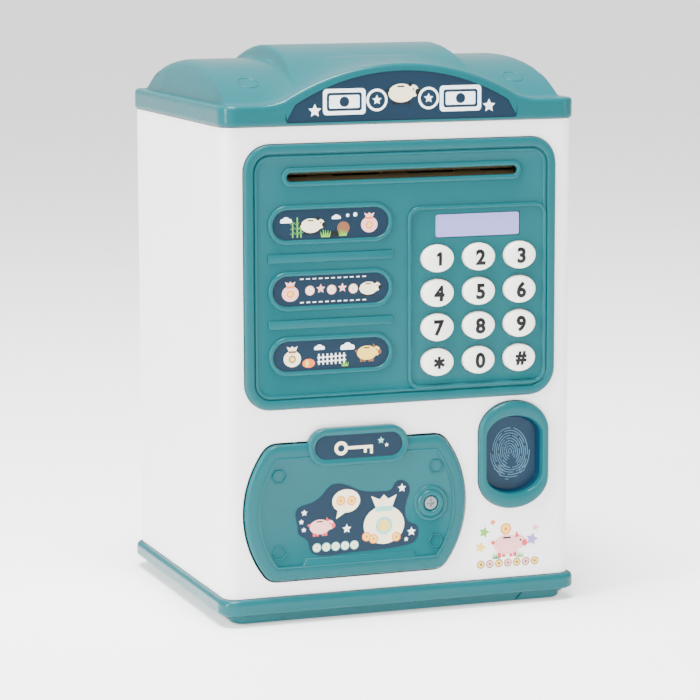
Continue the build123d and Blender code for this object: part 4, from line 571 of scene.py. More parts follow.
def build_panel():
    """Plate with a raised rim, a groove and a step down to its floor, cut out for slot, keys and display."""
    face, step, floor = PANEL.face, PANEL.step, PANEL.floor
    rim = [(0.0, PANEL.back), (0.0, face - 1.1), (0.12, face - 0.62), (0.42, face - 0.22),
           (0.9, face - 0.03), (1.3, face), (2.7, face - 0.02), (3.05, face - 0.14), (3.25, face - 0.4)]
    groove = [(3.35, face - 0.95), (3.7, face - 1.0)]
    inner_step = [(3.85, step - 0.15), (4.1, step), (4.5, step), (4.75, step - 0.14), (4.9, step - 0.4),
                  (5.0, floor + 0.06), (5.2, floor)]
    solid = stack(lambda i: framed(PANEL, i, steps=14), rim + groove + inner_step)
    plate = piece("panel", *solid, "panel_plastic", "case", ["front_panel"])
    back, front = PANEL.back - 1.0, face + 1.0
    holes = [prism(stadium(SLOT.x, SLOT.z, SLOT.l, SLOT.h), back, front)]
    for key in KEYS:
        x, z = node_centre(key)
        holes.append(prism(ellipse(x, z, KEY.w / 2 + KEY.gap, KEY.h / 2 + KEY.gap), back, front))
    holes.append(prism(framed(WINDOW, grow=WINDOW.gap), floor - WINDOW.sunk, front))
    cut(plate, holes)


def build_panel_beads():
    """Half-round frames of slot, labels and keypad, and the two flat ribs between the labels."""
    floor = PANEL.floor
    parts = [bead(slot_ring, floor, SLOT.border, BEAD_RISE)]
    for z in LABELS.values():
        parts.append(bead(lambda i, z=z: stadium(LABEL_X, z, RING_L, RING_H, i), floor, RING_W, 1.05))
    parts.append(bead(lambda i: framed(KEYPAD, i), floor, 1.5, BEAD_RISE))
    profile = ((0.0, -0.3), (0.0, 0.3), (0.15, 0.52), (0.45, 0.6))
    for z in RIBS.places:
        parts.append(stack(lambda i, z=z: rounded(LABEL_X, z, RING_L, RIBS.h, RIBS.r, i, 4), profile, floor))
    piece("panel_beads", *merge(parts), "panel_plastic", "case")


def build_painted_gap_shade():
    """Black strips of painted shade in the gaps round the panel and the bezel, under the roof and over the
    base.
    """
    lo, hi = low("body_shell"), high("body_shell")
    front, grow = -lo.y, GAP_SHADE.width
    sunk, proud = front - GAP_SHADE.sunk, front + GAP_SHADE.proud

    def frame_line(outline):
        inner, outer = outline(-GAP_SHADE.hidden), outline(grow)
        steps = ((inner, sunk), (inner, proud), (outer, proud), (outer, sunk))
        return loft([front_ring(edge, depth) for edge, depth in steps], closed=True)

    def bezel_edge(g):
        return oval(FINGER_X, FINGER_Z, RIM.w + 2 * g, RIM.h + 2 * g, RIM.straight + min(g, 0.0))

    parts = [frame_line(lambda g: framed(PANEL, grow=g)), frame_line(bezel_edge)]
    for z0, z1 in ((hi.z - GAP_SHADE.roof, hi.z - GAP_SHADE.end), (lo.z + GAP_SHADE.end, lo.z + GAP_SHADE.base)):
        rings = []
        for g, z in ((-GAP_SHADE.inner, z0), (GAP_SHADE.proud, z0), (GAP_SHADE.proud, z1), (-GAP_SHADE.inner, z1)):
            plan = rounded(0.0, 0.0, 2 * hi.x + 2 * g, 2 * front + 2 * g, BODY_R + g)
            rings.append([(x, y, z) for x, y in plan])
        parts.append(loft(rings, closed=True))
    # black plastic stands in for the shade inside these gaps: painted shade
    piece("painted_gap_shade", *merge(parts), "black_plastic", "case")


def build_note_guides():
    """Two sloping lips behind the note slot that lead a note to the rollers."""
    reach_x = SLOT.l / 2 + GUIDE.overlap
    mouth, nip = SLOT.h / 2 + GUIDE.clear, GUIDE.nip
    near, far = GUIDE.mouth_y, GUIDE.mouth_y + GUIDE.reach
    parts = []
    for side in (-1, 1):
        section = [(near, mouth), (far, nip), (far, nip + GUIDE.thick), (near, mouth + GUIDE.thick)]
        parts.append(loft([[(x, y, SLOT.z + side * up) for y, up in section]
                           for x in (SLOT.x - reach_x, SLOT.x + reach_x)]))
    piece("note_guides", *merge(parts), "grey_plastic", "case", smooth=20.0)


# ---------------- keys
CAP_STEPS = 14
MARK = Sizes(size=7.2, hash_size=6.2, bolder=0.32, half_thick=0.05, proud=0.06, sunk=0.12)
# the marks are cut into strips this wide before they are laid on the domed caps
STRIP, STRIP_SHIFT = 0.6, 0.037
WELD, SLIVER = 0.002, 0.001


def dome(u):
    """Height of a key's crown over its edge, for u from 0 in the middle to 1 at the edge."""
    return (KEY.top - KEY.skirt) * (1.0 - u ** 2.6) ** 0.5


def asterisk(reach, width):
    """Six square-ended arms."""
    points = []
    for arm in range(6):
        a = radians(90 + 60 * arm)
        along, across = (cos(a), sin(a)), (sin(a), -cos(a))
        for side in (0.5, -0.5):
            points.append(tuple(reach * u + side * width * v for u, v in zip(along, across)))
        notch = a + radians(30)
        points.append((width * cos(notch), width * sin(notch)))
    return points


# marks that aren't taken from Blender's own font
OUTLINES = {
    "1": [(0.85, -2.4), (0.85, 2.4), (0.0, 2.4), (-1.1, 1.65), (-1.1, 0.6), (-0.35, 1.05), (-0.35, -2.4)],
    "*": asterisk(2.2, 1.1),
}


def build_cap(node):
    """Oval key with a flange behind the panel and a domed crown."""
    x, z = node_centre(node)

    def ring(w, h, depth):
        return front_ring(ellipse(x, z, w / 2, h / 2, 64), depth)

    rings = [ring(KEY.flange_w, KEY.flange_h, depth) for depth in (KEY.back, KEY.flange)]
    rings.append(ring(KEY.w, KEY.h, KEY.flange))
    for i in range(CAP_STEPS + 1):
        u = cos(pi / 2 * i / CAP_STEPS) ** 0.8 if i < CAP_STEPS else 0.02
        rings.append(ring(KEY.w * u, KEY.h * u, KEY.skirt + dome(min(u, 1.0))))
    piece(node + "_cap", *loft(rings), "key_plastic", node, [node], smooth=50.0)


def mark_curve(name, mark):
    """Flat filled curve of a digit or sign."""
    if mark in OUTLINES:
        curve = bpy.data.curves.new(name, "CURVE")
        curve.dimensions = "2D"
        curve.fill_mode = "BOTH"
        spline = curve.splines.new("POLY")
        spline.points.add(len(OUTLINES[mark]) - 1)
        for point, (px, py) in zip(spline.points, OUTLINES[mark]):
            point.co = (px * MM, py * MM, 0.0, 1.0)
        spline.use_cyclic_u = True
    else:
        curve = bpy.data.curves.new(name, "FONT")
        curve.body = mark
        curve.size = (MARK.hash_size if mark == "#" else MARK.size) * MM
        curve.offset = MARK.bolder * MM
        curve.align_x = "CENTER"
    curve.extrude = MARK.half_thick * MM
    curve.resolution_u = 4
    return curve


def cut_into_strips(mesh):
    fine = bmesh.new()
    fine.from_mesh(mesh)
    bmesh.ops.remove_doubles(fine, verts=fine.verts[:], dist=WELD * MM)
    for direction in ((1.0, 0.0, 0.0), (0.0, 1.0, 0.0)):
        for step in range(-8, 17):
            cut_at = Vector(direction) * (step * STRIP + STRIP_SHIFT) * MM
            bmesh.ops.bisect_plane(fine, geom=fine.verts[:] + fine.edges[:] + fine.faces[:], plane_co=cut_at,
                                   plane_no=direction)
    bmesh.ops.remove_doubles(fine, verts=fine.verts[:], dist=WELD * MM)
    bmesh.ops.dissolve_degenerate(fine, edges=fine.edges[:], dist=SLIVER * MM)
    fine.to_mesh(mesh)
    fine.free()


def build_mark(node, mark):
    """Printed mark in thin closed strips that follow the cap's dome."""
    name = node + "_mark"
    glyph = new_object(name, mark_curve(name, mark))
    mesh = evaluated_mesh(glyph)
    bpy.data.objects.remove(glyph)
    cut_into_strips(mesh)
    x, z = node_centre(node)
    flat = np.array([v.co for v in mesh.vertices], float) / MM
    middle = (flat.min(0) + flat.max(0)) / 2
    for vertex, (px, py, pz) in zip(mesh.vertices, flat):
        dx, dz = px - middle[0], py - middle[1]
        u = hypot(dx / (KEY.w / 2), dz / (KEY.h / 2))
        depth = KEY.skirt + dome(min(u, 0.999)) + (MARK.proud if pz > middle[2] else -MARK.sunk)
        vertex.co = Vector((x + dx, -depth, z + dz)) * MM
    mesh.materials.append(MATERIALS["ink_black"])
    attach(new_object(name, mesh), node)


# ---------------- safe door
DOOR = Sizes(x=-17.4, z=39.7, half_w=41.35, corner=32.2, half_h=24.3, r=6.0, face=57.2, back=54.9,
             tongue=51.7, field=0.45)
PIVOT = Sizes(x=-40.0, y=-53.6, barrel=1.9, pin=1.0)
# bottom and top of each barrel, and the end of its pin
BARRELS = ((15.4, 21.4, 13.0), (58.0, 64.0, 66.4))
TAB = Sizes(x=-17.1, z=62.2, l=37.6, h=13.5, face=58.3, back=55.35)
LOCK = (10.2, 39.7)
STUDS = [(x, z) for x in (-46.3, 12.2) for z in (52.8, 25.9)]
GRIP = Sizes(top=22.6, bottom=18.7, right=(22.6, 20.6), left=(20.8, 18.6))
FIELD = DOOR.face - DOOR.field


def door_outline(inset):
    """Two bulging sides, flat top and bottom, round corners; parallel curves share their centres."""
    bulge = DOOR.half_w - DOOR.corner
    big, small = (DOOR.half_h ** 2 + bulge ** 2) / (2 * bulge), DOOR.r
    side_x, up = DOOR.half_w - big, DOOR.half_h - small
    across = side_x + sqrt((big - small) ** 2 - up ** 2)
    lean = degrees(atan2(up, across - side_x))
    flank = arc_points(side_x, 0, big - inset, 0, lean, 16)[:-1]
    quarter = flank + arc_points(across, up, small - inset, lean, 90, 10)
    points = []
    for sx, sz in ((1, 1), (-1, 1), (-1, -1), (1, -1)):
        turned = quarter if sx * sz > 0 else quarter[::-1]
        points += [(DOOR.x + sx * a, DOOR.z + sz * b) for a, b in turned[:-1]]
    return points


def grip_outline(inset):
    """Trapezoid that runs out into the bottom edge, counted inwards from its foot's own outline."""
    heights = (GRIP.bottom, GRIP.top - inset)
    right = [(DOOR.x + reach - inset, z) for reach, z in zip(GRIP.right, heights)]
    return right + [(DOOR.x - reach + inset, z) for reach, z in zip(GRIP.left, heights)][::-1]


def build_door_shell():
    """Dished door plate with a rim, and a tongue behind it that goes into the body."""
    face, back, tongue = DOOR.face, DOOR.back, DOOR.tongue
    behind = [(2.8, back), (2.8, tongue), (1.2, tongue), (1.2, back)]
    rim = [(0.0, back), (0.0, face - 1.5), (0.15, face - 0.95), (0.5, face - 0.45), (1.0, face - 0.15),
           (1.6, face), (4.5, face), (4.8, face - 0.1), (4.95, face - 0.3), (5.2, FIELD)]
    piece("safe_door", *stack(door_outline, behind + rim), "door_plastic", "door", ["door"])


def pivot_parts():
    def circle(radius, z):
        return [(PIVOT.x + radius * cos(a), PIVOT.y + radius * sin(a), z) for a in turns(24)]

    parts = []
    for z0, z1, pin_end in BARRELS:
        parts.append(loft([circle(PIVOT.pin, z) for z in (pin_end, (z0 + z1) / 2)]))
        parts.append(loft([circle(PIVOT.barrel, z) for z in (z0, z1)]))
    return parts


def tab_part():
    """Name tab with a double ring."""
    profile = [(0.0, TAB.back - TAB.face), (0.0, -1.0), (0.12, -0.55), (0.45, -0.15), (0.9, 0.0),
               (1.5, -0.02), (1.75, -0.2), (1.9, -0.3), (2.3, -0.35), (2.5, -0.5), (2.62, -0.9), (2.8, -0.9)]
    return stack(lambda i: stadium(TAB.x, TAB.z, TAB.l, TAB.h, i), profile, TAB.face)


def lock_part():
    """Boss with two round rims about the lock screw."""
    profile = [(6.5, -0.2), (6.4, 0.35), (6.15, 0.62), (5.6, 0.74), (5.15, 0.62), (4.9, 0.5), (4.75, 0.62),
               (4.5, 1.05), (4.1, 1.24), (3.4, 1.24), (3.0, 1.0), (2.75, 0.45), (2.6, -0.1)]
    return loft([front_ring(ellipse(*LOCK, r, r, 64), FIELD + up) for r, up in profile])


def stud_part(x, z):
    """Raised outline of a hexagon."""
    rings = []
    for radius, up in ((2.9, -0.2), (2.88, 0.15), (2.7, 0.42), (2.45, 0.42), (2.25, 0.15), (2.2, -0.2)):
        corners = ellipse(x, z, radius, radius, 6)
        ring = []
        for (ax, az), (bx, bz) in zip(corners, corners[1:] + corners[:1]):
            ring += [(ax + (bx - ax) * t / 4, az + (bz - az) * t / 4) for t in range(4)]
        rings.append(front_ring(ring, FIELD + up))
    return loft(rings, closed=True)


def build_door_relief():
    """Pivots, tab, lock boss, studs, finger grip and the fine ridge round the sunk field."""
    parts = pivot_parts() + [tab_part(), lock_part()] + [stud_part(x, z) for x, z in STUDS]
    parts.append(stack(grip_outline, ((-0.6, -0.2), (-0.45, 0.2), (-0.2, 0.46), (0.0, 0.54)), FIELD))
    parts.append(bead(lambda i: door_outline(i + 4.5), DOOR.face, 0.9, 0.28))
    piece("safe_door_relief", *merge(parts), "door_plastic", "door")


# ---------------- fingerprint station
PAD_FACE, PAD_BACK = -low("fingerprint_pad").y, -high("fingerprint_pad").y
PAD_FLANGE = 51.3
BEZEL_BACK = 51.5
BEZEL_STEM = Sizes(w=24.4, h=34.0, straight=15.0, front=55.2)
LINER_BACK = 51.6
RIDGE_R = 0.14
WHORL = Sizes(half_w=7.6, half_h=9.8)


def finger_oval(w, h, straight):
    return np.array(oval(FINGER_X, FINGER_Z, w, h, straight))


def well_oval(shrink):
    return finger_oval(WELL.w - shrink, WELL.h - shrink, WELL.straight)


def between(start, end, base, steps):
    """Rings part of the way from one outline to another: steps are (share, depth from a base)."""
    return [front_ring(start + (end - start) * share, base + depth) for share, depth in steps]


def build_bezel():
    """Rounded oval rim, open at the well, with a stem that goes back into the body."""
    stem = finger_oval(BEZEL_STEM.w, BEZEL_STEM.h, BEZEL_STEM.straight)
    rings = [front_ring(stem, BEZEL_BACK), front_ring(stem, BEZEL_STEM.front)]
    rings += between(finger_oval(RIM.w, RIM.h, RIM.straight), well_oval(0.0), RIM.face, (
        (0.0, -2.35), (0.0, -1.3), (0.05, -0.75), (0.16, -0.28), (0.3, -0.04), (0.45, 0.0), (0.72, -0.05),
        (0.88, -0.22), (0.97, -0.55), (1.0, -1.0)))
    rings.append(front_ring(well_oval(1.7), BEZEL_BACK))
    piece("fingerprint_bezel_ring", *loft(rings, closed=True), "teal_plastic", "case", ["fingerprint_bezel"])


def build_well_liner():
    """Dark dished lining of the finger well, from just inside the mouth to the edge of the pad."""
    mouth = well_oval(0.1)
    hidden = mouth + (mouth - (FINGER_X, FINGER_Z)) * 0.02
    rings = [front_ring(hidden, LINER_BACK), front_ring(hidden, 55.4)]
    rings += between(mouth, well_oval(2.0), LINER_BACK, (
        (0.0, 3.95), (0.24, 3.4), (0.5, 2.7), (0.72, 2.05), (0.9, 1.45), (1.0, 1.1), (1.0, 0.0)))
    piece("fingerprint_well_liner", *loft(rings, closed=True), "pad_plastic", "case")


def build_pad():
    """Pad that carries the lining's slope on to a nearly flat floor, with a flange behind it."""
    width, height = WELL.w - 2.1, WELL.h - 2.1
    outer = finger_oval(width, height, WELL.straight)
    flange = finger_oval(width + 2.7, height + 3.1, WELL.straight)
    rings = [front_ring(flange, PAD_BACK), front_ring(flange, PAD_FLANGE), front_ring(outer, PAD_FLANGE)]
    rings += between(outer, np.array((FINGER_X, FINGER_Z)), PAD_FACE, (
        (0.0, 0.1), (0.04, 0.09), (0.12, 0.03), (0.25, 0.0), (0.6, 0.0), (0.98, 0.0)))
    piece("fingerprint_dish", *loft(rings), "pad_plastic", "fingerprint_pad", ["fingerprint_pad"])


def stretches(samples):
    """Runs of three or more kept points out of (x, z, kept) samples."""
    run = []
    for x, z, kept in samples + [(0.0, 0.0, False)]:
        if kept and (x / WHORL.half_w) ** 2 + (z / WHORL.half_h) ** 2 <= 1.0:
            run.append((FINGER_X + x, PAD_FACE + 0.02, FINGER_Z + z))
            continue
        if len(run) > 2:
            yield run
        run = []


def build_whorl():
    """Ridges of a made-up fingerprint: leaning ovals open at the foot, and arches below them."""
    parts = []
    for ring in range(10):
        a, b = 0.55 + ring * 0.78, 1.0 + ring * 0.95
        lean = radians(12 - ring)
        samples = []
        for i in range(97):
            t = radians(-62 + i * 304 / 96)
            x = a * cos(t) * cos(lean) - b * sin(t) * sin(lean)
            z = a * cos(t) * sin(lean) + b * sin(t) * cos(lean) + 0.6
            samples.append((x, z, (ring * 41 + i) % 31 >= 2))
        parts += [tube(run, RIDGE_R) for run in stretches(samples)]
    for line in range(6):
        samples = []
        for i in range(33):
            x = -WHORL.half_w + 2 * WHORL.half_w * i / 32
            z = -5.4 - line * 0.85 + 0.1 * (x - 0.6) ** 2 * (1 - line / 7)
            samples.append((x, z, z < -4.2 and (i + line * 7) % 17 > 0))
        parts += [tube(run, RIDGE_R) for run in stretches(samples)]
    piece("fingerprint_ridges", *merge(parts), "ink_ridge", "fingerprint_pad", slot="pad_plastic")


# ---------------- printed artwork
class Print:
    """Flat coloured shapes, each a thin closed prism, raised over the earlier shapes that it overlaps."""

    def __init__(self, name, body, depth, layer=0.02):
        self.name, self.body, self.depth, self.layer = name, body, depth, layer
        self.parts, self.inks, self.boxes = [], [], []

    def shape(self, outline, ink):
        xs, zs = [p[0] for p in outline], [p[1] for p in outline]
        box = (min(xs), max(xs), min(zs), max(zs))
        under = [level for x0, x1, z0, z1, level in self.boxes
                 if x0 < box[1] and box[0] < x1 and z0 < box[3] and box[2] < z1]
        level = 1 + max(under, default=0)
        self.boxes.append((*box, level))
        self.parts.append(prism(outline, self.depth - 0.05, self.depth + self.layer * (level + 0.5)))
        self.inks.append(ink if ink in MATERIALS else "ink_" + ink)

    def disc(self, x, z, rx, ink, rz=None, steps=24):
        self.shape(ellipse(x, z, rx, rz or rx, steps), ink)

    def star(self, x, z, r, ink, turn=90.0):
        points = []
        for i in range(10):
            radius = r if i % 2 == 0 else r * 0.48
            a = radians(turn + 36 * i)
            points.append((x + radius * cos(a), z + radius * sin(a)))
        self.shape(points, ink)

    def bar(self, x0, z0, x1, z1, width, ink):
        along = Vector((x1 - x0, z1 - z0)).normalized()
        nx, nz = -along.y * width / 2, along.x * width / 2
        self.shape([(x0 + nx, z0 + nz), (x0 - nx, z0 - nz), (x1 - nx, z1 - nz), (x1 + nx, z1 + nz)], ink)

    def cloud(self, x, z, s, ink="white"):
        for dx, dz, r in ((-1.1, 0.0, 0.75), (0.0, 0.35, 1.0), (1.2, 0.0, 0.7)):
            self.disc(x + dx * s, z + dz * s, r * s, ink, r * s * 0.8)
        self.shape(rounded(x, z - 0.35 * s, 3.9 * s, 0.8 * s, 0.38 * s, 0.0, 4), ink)

    def grass(self, x, z, s, ink="green", blades=5):
        for i in range(blades):
            lean = (i - (blades - 1) / 2) * 0.45
            height = s * (1.6 + 0.7 * ((i * 3) % 4) / 3)
            base = x + lean * s
            self.shape([(base - 0.3 * s, z), (base + 0.3 * s, z), (base + lean * 0.7 * s, z + height)], ink)

    def coin(self, x, z, r, rim="orange", face="yellow"):
        self.disc(x, z, r, rim)
        self.disc(x, z, r * 0.78, face)
        self.star(x, z, r * 0.45, rim)

    def pig(self, x, z, s, skin="pink", line="red"):
        """A money-box pig from the side."""
        for dx in (-1.0, -0.45, 0.5, 1.0):
            self.bar(x + dx * s, z - 1.5 * s, x + dx * s, z - 0.5 * s, 0.42 * s, line)
        self.disc(x, z, 1.75 * s, skin, 1.2 * s)
        self.disc(x + 1.55 * s, z + 0.25 * s, 0.85 * s, skin, 0.8 * s)
        self.disc(x + 2.25 * s, z + 0.1 * s, 0.34 * s, line, 0.42 * s)
        self.shape([(x + s, z + 0.8 * s), (x + 1.6 * s, z + 0.9 * s), (x + 1.15 * s, z + 1.55 * s)], line)
        self.disc(x + 1.7 * s, z + 0.45 * s, 0.13 * s, "black")
        self.bar(x - 0.55 * s, z + 0.85 * s, x + 0.45 * s, z + 0.85 * s, 0.2 * s, "black")
        self.disc(x - 1.85 * s, z + 0.35 * s, 0.24 * s, line)

    def sack(self, x, z, s, cloth="cream", band="orange"):
        """A tied money sack with a coin mark."""
        self.disc(x, z - 0.3 * s, 1.45 * s, cloth, 1.3 * s)
        frill = ((-0.9, 1.7), (-0.5, 0.7), (0.5, 0.7), (0.9, 1.7), (0.3, 1.45), (0.0, 1.75), (-0.3, 1.45))
        self.shape([(x + dx * s, z + dz * s) for dx, dz in frill], cloth)
        self.bar(x - 0.62 * s, z + 0.8 * s, x + 0.62 * s, z + 0.8 * s, 0.34 * s, band)
        self.disc(x, z - 0.35 * s, 0.6 * s, band)
        self.disc(x, z - 0.35 * s, 0.4 * s, "yellow")

    def note(self, x, z, w, h, paper="white", mark="sign_print"):
        """A plain banknote pictogram."""
        self.shape(rounded(x, z, w, h, h * 0.14, 0.0, 4), paper)
        self.shape(rounded(x, z, w - h * 0.3, h * 0.7, h * 0.1, 0.0, 4), mark)
        self.shape(rounded(x, z, w - h * 0.5, h * 0.5, h * 0.06, 0.0, 4), paper)
        self.disc(x, z, h * 0.2, mark)

    def done(self, slot):
        names = sorted(set(self.inks))
        verts, faces = merge(self.parts)
        marks = []
        for part, ink in zip(self.parts, self.inks):
            marks += [names.index(ink)] * len(part[1])
        return piece(self.name, verts, faces, names, self.body, slot=slot, face_mats=marks)


LABEL_FACE = -low("label_top").y
SIGN_FACE = HALF_D - SIGN.depth + SIGN.thick


def build_label_top_art():
    """Cloud, bamboo, pig, grass, plant and sack."""
    art = Print("label_top_art", "case", LABEL_FACE)
    z = LABELS["label_top"]
    art.cloud(-43.0, z + 1.6, 1.1)
    for x, height in ((-40.6, 5.4), (-38.9, 7.0), (-37.6, 4.6)):
        art.bar(x, z - 4.4, x, z - 4.4 + height, 0.42, "green")
        for i in range(3):
            art.bar(x - 0.9, z - 3.2 + i * 1.7, x + 0.9, z - 2.6 + i * 1.7, 0.3, "leaf")
    art.pig(-34.0, z - 0.4, 2.1, "cream", "black")
    art.grass(-28.6, z - 4.6, 1.25)
    art.cloud(-24.6, z + 2.2, 0.85)
    art.disc(-20.4, z + 2.7, 0.6, "white")
    art.disc(-17.6, z + 2.9, 0.75, "white")
    art.disc(-22.0, z - 1.6, 2.3, "brown", 2.2)
    art.grass(-22.2, z - 4.4, 1.1, "green")
    art.disc(-25.2, z - 3.6, 1.5, "black", 0.9)
    art.sack(-12.4, z - 0.2, 2.1, "pink", "orange")
    art.done("label_print")


def build_label_middle_art():
    """A row of coins and stars between dashed lines, with a sack and a pig."""
    art = Print("label_middle_art", "case", LABEL_FACE)
    z = LABELS["label_middle"]
    for i in range(11):
        x = -38.0 + i * 2.3
        art.bar(x, z + 4.1, x + 1.3, z + 4.15, 0.4, "white")
        art.bar(x, z - 4.1, x + 1.3, z - 4.05, 0.4, "white")
    for i in range(5):
        x = -34.4 + i * 4.0
        if i % 2:
            art.star(x, z + 0.5, 1.7, "pink")
        else:
            art.coin(x, z, 1.7, "pink", "cream")
    art.sack(-41.6, z - 0.2, 2.1, "pink", "orange")
    art.pig(-12.8, z - 0.1, 1.9, "cream", "black")
    art.done("label_print")


def build_label_bottom_art():
    """Sack, fence, clouds and pig."""
    art = Print("label_bottom_art", "case", LABEL_FACE)
    z = LABELS["label_bottom"]
    art.sack(-41.0, z - 0.2, 2.2, "cream", "brown")
    art.disc(-35.0, z - 2.7, 2.3, "orange", 1.6)
    art.disc(-35.6, z - 2.7, 0.7, "yellow", 1.3)
    art.bar(-31.8, z - 0.9, -21.2, z - 0.6, 0.45, "white")
    art.bar(-31.8, z - 2.4, -21.2, z - 2.1, 0.45, "white")
    for i in range(7):
        x = -31.2 + i * 1.55
        art.bar(x, z - 3.4, x, z + 0.4, 0.55, "white")
    art.cloud(-31.0, z + 2.6, 1.0)
    art.cloud(-20.6, z + 2.4, 1.35)
    art.grass(-21.6, z - 4.4, 0.9)
    art.pig(-13.4, z - 0.1, 2.1, "yellow", "brown")
    art.done("label_print")


def build_sign_plate():
    """Navy plate that fills the pocket in the gable but for a small gap."""
    gap, flare = SIGN.gap, SIGN.flare
    half = SIGN.chord - gap
    xs = [half - 2 * half * i / 60 for i in range(61)]
    outline = [(x, sign_arc(x) - gap) for x in xs]
    outline += [(-half - flare, SIGN.bottom + gap), (half + flare, SIGN.bottom + gap)]
    plate = prism(outline, HALF_D - SIGN.depth, SIGN_FACE)
    piece("roof_sign_plate", *plate, "sign_print", "case", ["roof_sign"], smooth=20.0)


def build_sign_art():
    """Two banknotes, two coins and a pig between stars."""
    art = Print("roof_sign_art", "case", SIGN_FACE)
    art.note(-21.6, 182.9, 15.6, 9.0)
    art.coin(-9.6, 183.2, 3.9, "white", "sign_print")
    art.pig(-0.6, 185.4, 2.7, "cream", "black")
    art.coin(9.6, 183.4, 3.9, "white", "sign_print")
    art.note(21.6, 183.1, 15.6, 9.0)
    for x, z in ((-32.4, 180.0), (32.4, 180.2)):
        art.star(x, z, 2.4, "white")
    art.done("sign_print")


def build_tab_art():
    """A key with two stars."""
    art = Print("door_label_art", "door", -low("door_label").y)
    x, z = TAB.x, TAB.z - 0.5
    art.disc(x - 6.6, z, 2.5, "cream")
    art.disc(x - 6.6, z, 1.25, "label_print")
    art.bar(x - 4.4, z, x + 5.2, z, 1.1, "cream")
    art.bar(x + 2.4, z - 2.1, x + 2.4, z, 1.0, "cream")
    art.bar(x + 4.7, z - 2.5, x + 4.7, z + 0.3, 1.0, "cream")
    art.star(x + 8.3, z + 1.9, 1.3, "mint")
    art.star(x + 10.4, z + 0.2, 0.8, "cream")
    art.done("label_print")


def build_door_art():
    """Pig and sack with coins, a speech bubble with two coins in it, stars and a row of coins."""
    art = Print("door_sticker_art", "door", -low("door_sticker").y)
    art.pig(-31.4, 34.0, 2.2, "pink", "red")
    art.disc(-21.6, 42.6, 5.2, "cream", 4.2)
    art.shape([(-24.6, 40.0), (-21.8, 38.6), (-25.4, 36.4)], "cream")
    art.coin(-23.6, 42.8, 1.7)
    art.coin(-19.6, 42.6, 1.7)
    art.sack(-7.4, 34.6, 5.3, "cream", "mint")
    for dx, dz in ((-6.6, -5.4), (-4.0, -6.4), (4.6, -6.2)):
        art.coin(-7.4 + dx, 34.6 + dz, 1.7, "orange", "yellow")
    stars = ((-37.2, 39.4, 1.2), (-38.3, 36.2, 1.0), (-37.4, 33.3, 1.0), (-21.4, 32.6, 1.7),
             (-0.6, 45.8, 1.6), (3.0, 29.8, 1.7), (1.0, 27.2, 0.9))
    for x, z, r in stars:
        art.star(x, z, r, "white")
    for i in range(5):
        art.coin(-32.6 + i * 3.5, 26.6, 1.6, "mint", "cream")
    art.done("sticker_print")


def build_front_art():
    """A pig with a coin over it, stars, grass and a row of coins."""
    art = Print("front_sticker_art", "case", -low("body_shell").y)
    art.grass(36.4, 16.9, 1.2, "leaf")
    art.grass(45.4, 16.9, 1.1, "green")
    art.pig(40.6, 21.9, 3.0, "pink", "red")
    art.coin(40.0, 27.7, 2.1)
    stars = ((31.6, 27.0, 2.2, "green"), (30.2, 21.6, 2.3, "yellow"), (50.2, 23.2, 2.4, "violet"),
             (51.6, 27.4, 1.5, "pink"), (35.0, 30.4, 1.3, "orange"))
    for x, z, r, ink in stars:
        art.star(x, z, r, ink, turn=75.0)
    for i in range(7):
        art.coin(30.4 + i * 3.5, 15.2, 1.5, "brown", "pink" if i % 2 else "yellow")
    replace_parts(art.done("sticker_print"), "front_sticker")


# ---------------- stage, light and camera
FLOOR = Sizes(span=12.0, shade=0.92, rough=0.7, glow=0.7)
SKY = 1.0
WHITE = (1.0, 1.0, 1.0, 1.0)
MIDDLE = (0.0, 0.0, 0.1)
LIGHTS = {
    # place, size and watts
    "top_light": ((-0.15, -0.1, 1.1), (0.5, 0.5), 44.0),
    "left_light": ((-1.1, -0.45, 0.5), (0.25, 0.9), 24.0),
    "right_strip": ((0.95, -0.85, 0.35), (0.12, 0.9), 4.0),
    "front_light": ((-0.25, -1.5, 0.9), (0.5, 0.3), 3.0),
}
CAMERA = Sizes(azimuth=-19.89, elevation=8.51, roll=-0.155, distance=1.08933, lens=153.85, sensor=36.0,
               target=(-0.00453, -0.01615, 0.09011), shift=(-0.0029, -0.0016))


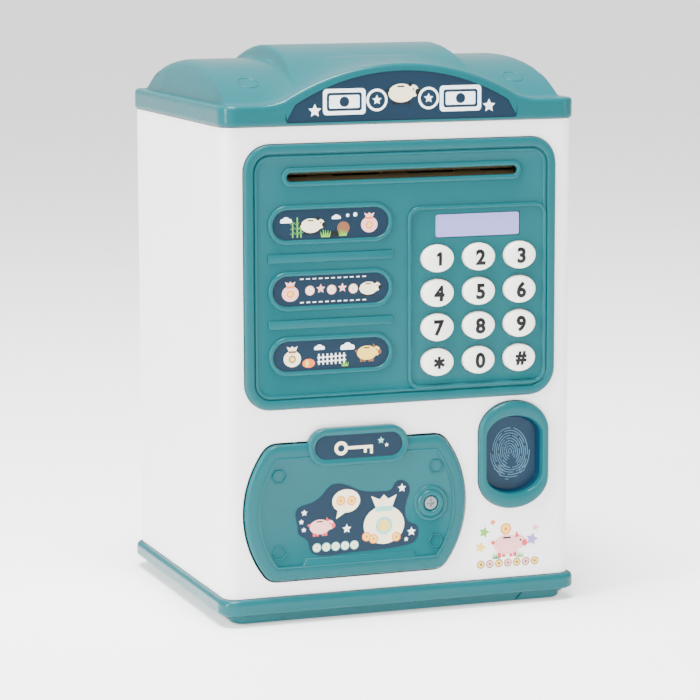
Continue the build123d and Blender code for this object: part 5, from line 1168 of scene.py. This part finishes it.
def build_stage():
    """Glowing white floor under a white sky."""
    mesh = bpy.data.meshes.new("floor")
    corners = [(sx * FLOOR.span, sy * FLOOR.span, 0) for sx, sy in ((-1, -1), (1, -1), (1, 1), (-1, 1))]
    mesh.from_pydata(corners, [], [(0, 1, 2, 3)])
    paper = material("floor", (FLOOR.shade,) * 3, FLOOR.rough, spread=0.01, mottle=3.0)
    shader = paper.node_tree.nodes["Principled BSDF"]
    shader.inputs["Emission Color"].default_value = WHITE
    shader.inputs["Emission Strength"].default_value = FLOOR.glow
    mesh.materials.append(paper)
    new_object("floor", mesh)
    world = bpy.data.worlds.new("studio")
    world.use_nodes = True
    sky = world.node_tree.nodes["Background"]
    sky.inputs["Color"].default_value = WHITE
    sky.inputs["Strength"].default_value = SKY
    bpy.context.scene.world = world


def soft_light(name, place, size, watts):
    data = bpy.data.lights.new(name, "AREA")
    data.shape = "RECTANGLE"
    data.size, data.size_y = size
    data.energy = watts
    lamp = new_object(name, data)
    lamp.location = Vector(place)
    lamp.rotation_euler = (Vector(MIDDLE) - Vector(place)).to_track_quat("-Z", "Y").to_euler()


def build_camera():
    a, e = radians(CAMERA.azimuth), radians(CAMERA.elevation)
    back = Vector((sin(a) * cos(e), -cos(a) * cos(e), sin(e)))
    data = bpy.data.cameras.new("camera")
    data.lens = CAMERA.lens
    data.sensor_width = CAMERA.sensor
    data.shift_x, data.shift_y = CAMERA.shift
    camera = new_object("camera", data)
    camera.location = Vector(CAMERA.target) + back * CAMERA.distance
    camera.rotation_mode = "QUATERNION"
    roll = Quaternion((0, 0, 1), radians(CAMERA.roll))
    camera.rotation_quaternion = (-back).to_track_quat("-Z", "Y") @ roll
    bpy.context.scene.camera = camera


# ---------------- everything, in order
for row in frame["record"]["subparts"]:
    cad = nodes[row["node"]]
    cad.data.materials.clear()
    cad.data.materials.append(MATERIALS[row["material_slot"]])
    soften(cad, 28.0)

build_roof()
build_roof_marks()
build_panel()
build_panel_beads()
build_painted_gap_shade()
build_note_guides()
for key_node, key_mark in KEYS.items():
    build_cap(key_node)
    build_mark(key_node, key_mark)
build_door_shell()
build_door_relief()
build_bezel()
build_well_liner()
build_pad()
build_whorl()
build_label_top_art()
build_label_middle_art()
build_label_bottom_art()
build_sign_plate()
build_sign_art()
build_tab_art()
build_door_art()
build_front_art()
build_stage()
for light_name, light in LIGHTS.items():
    soft_light(light_name, *light)
build_camera()
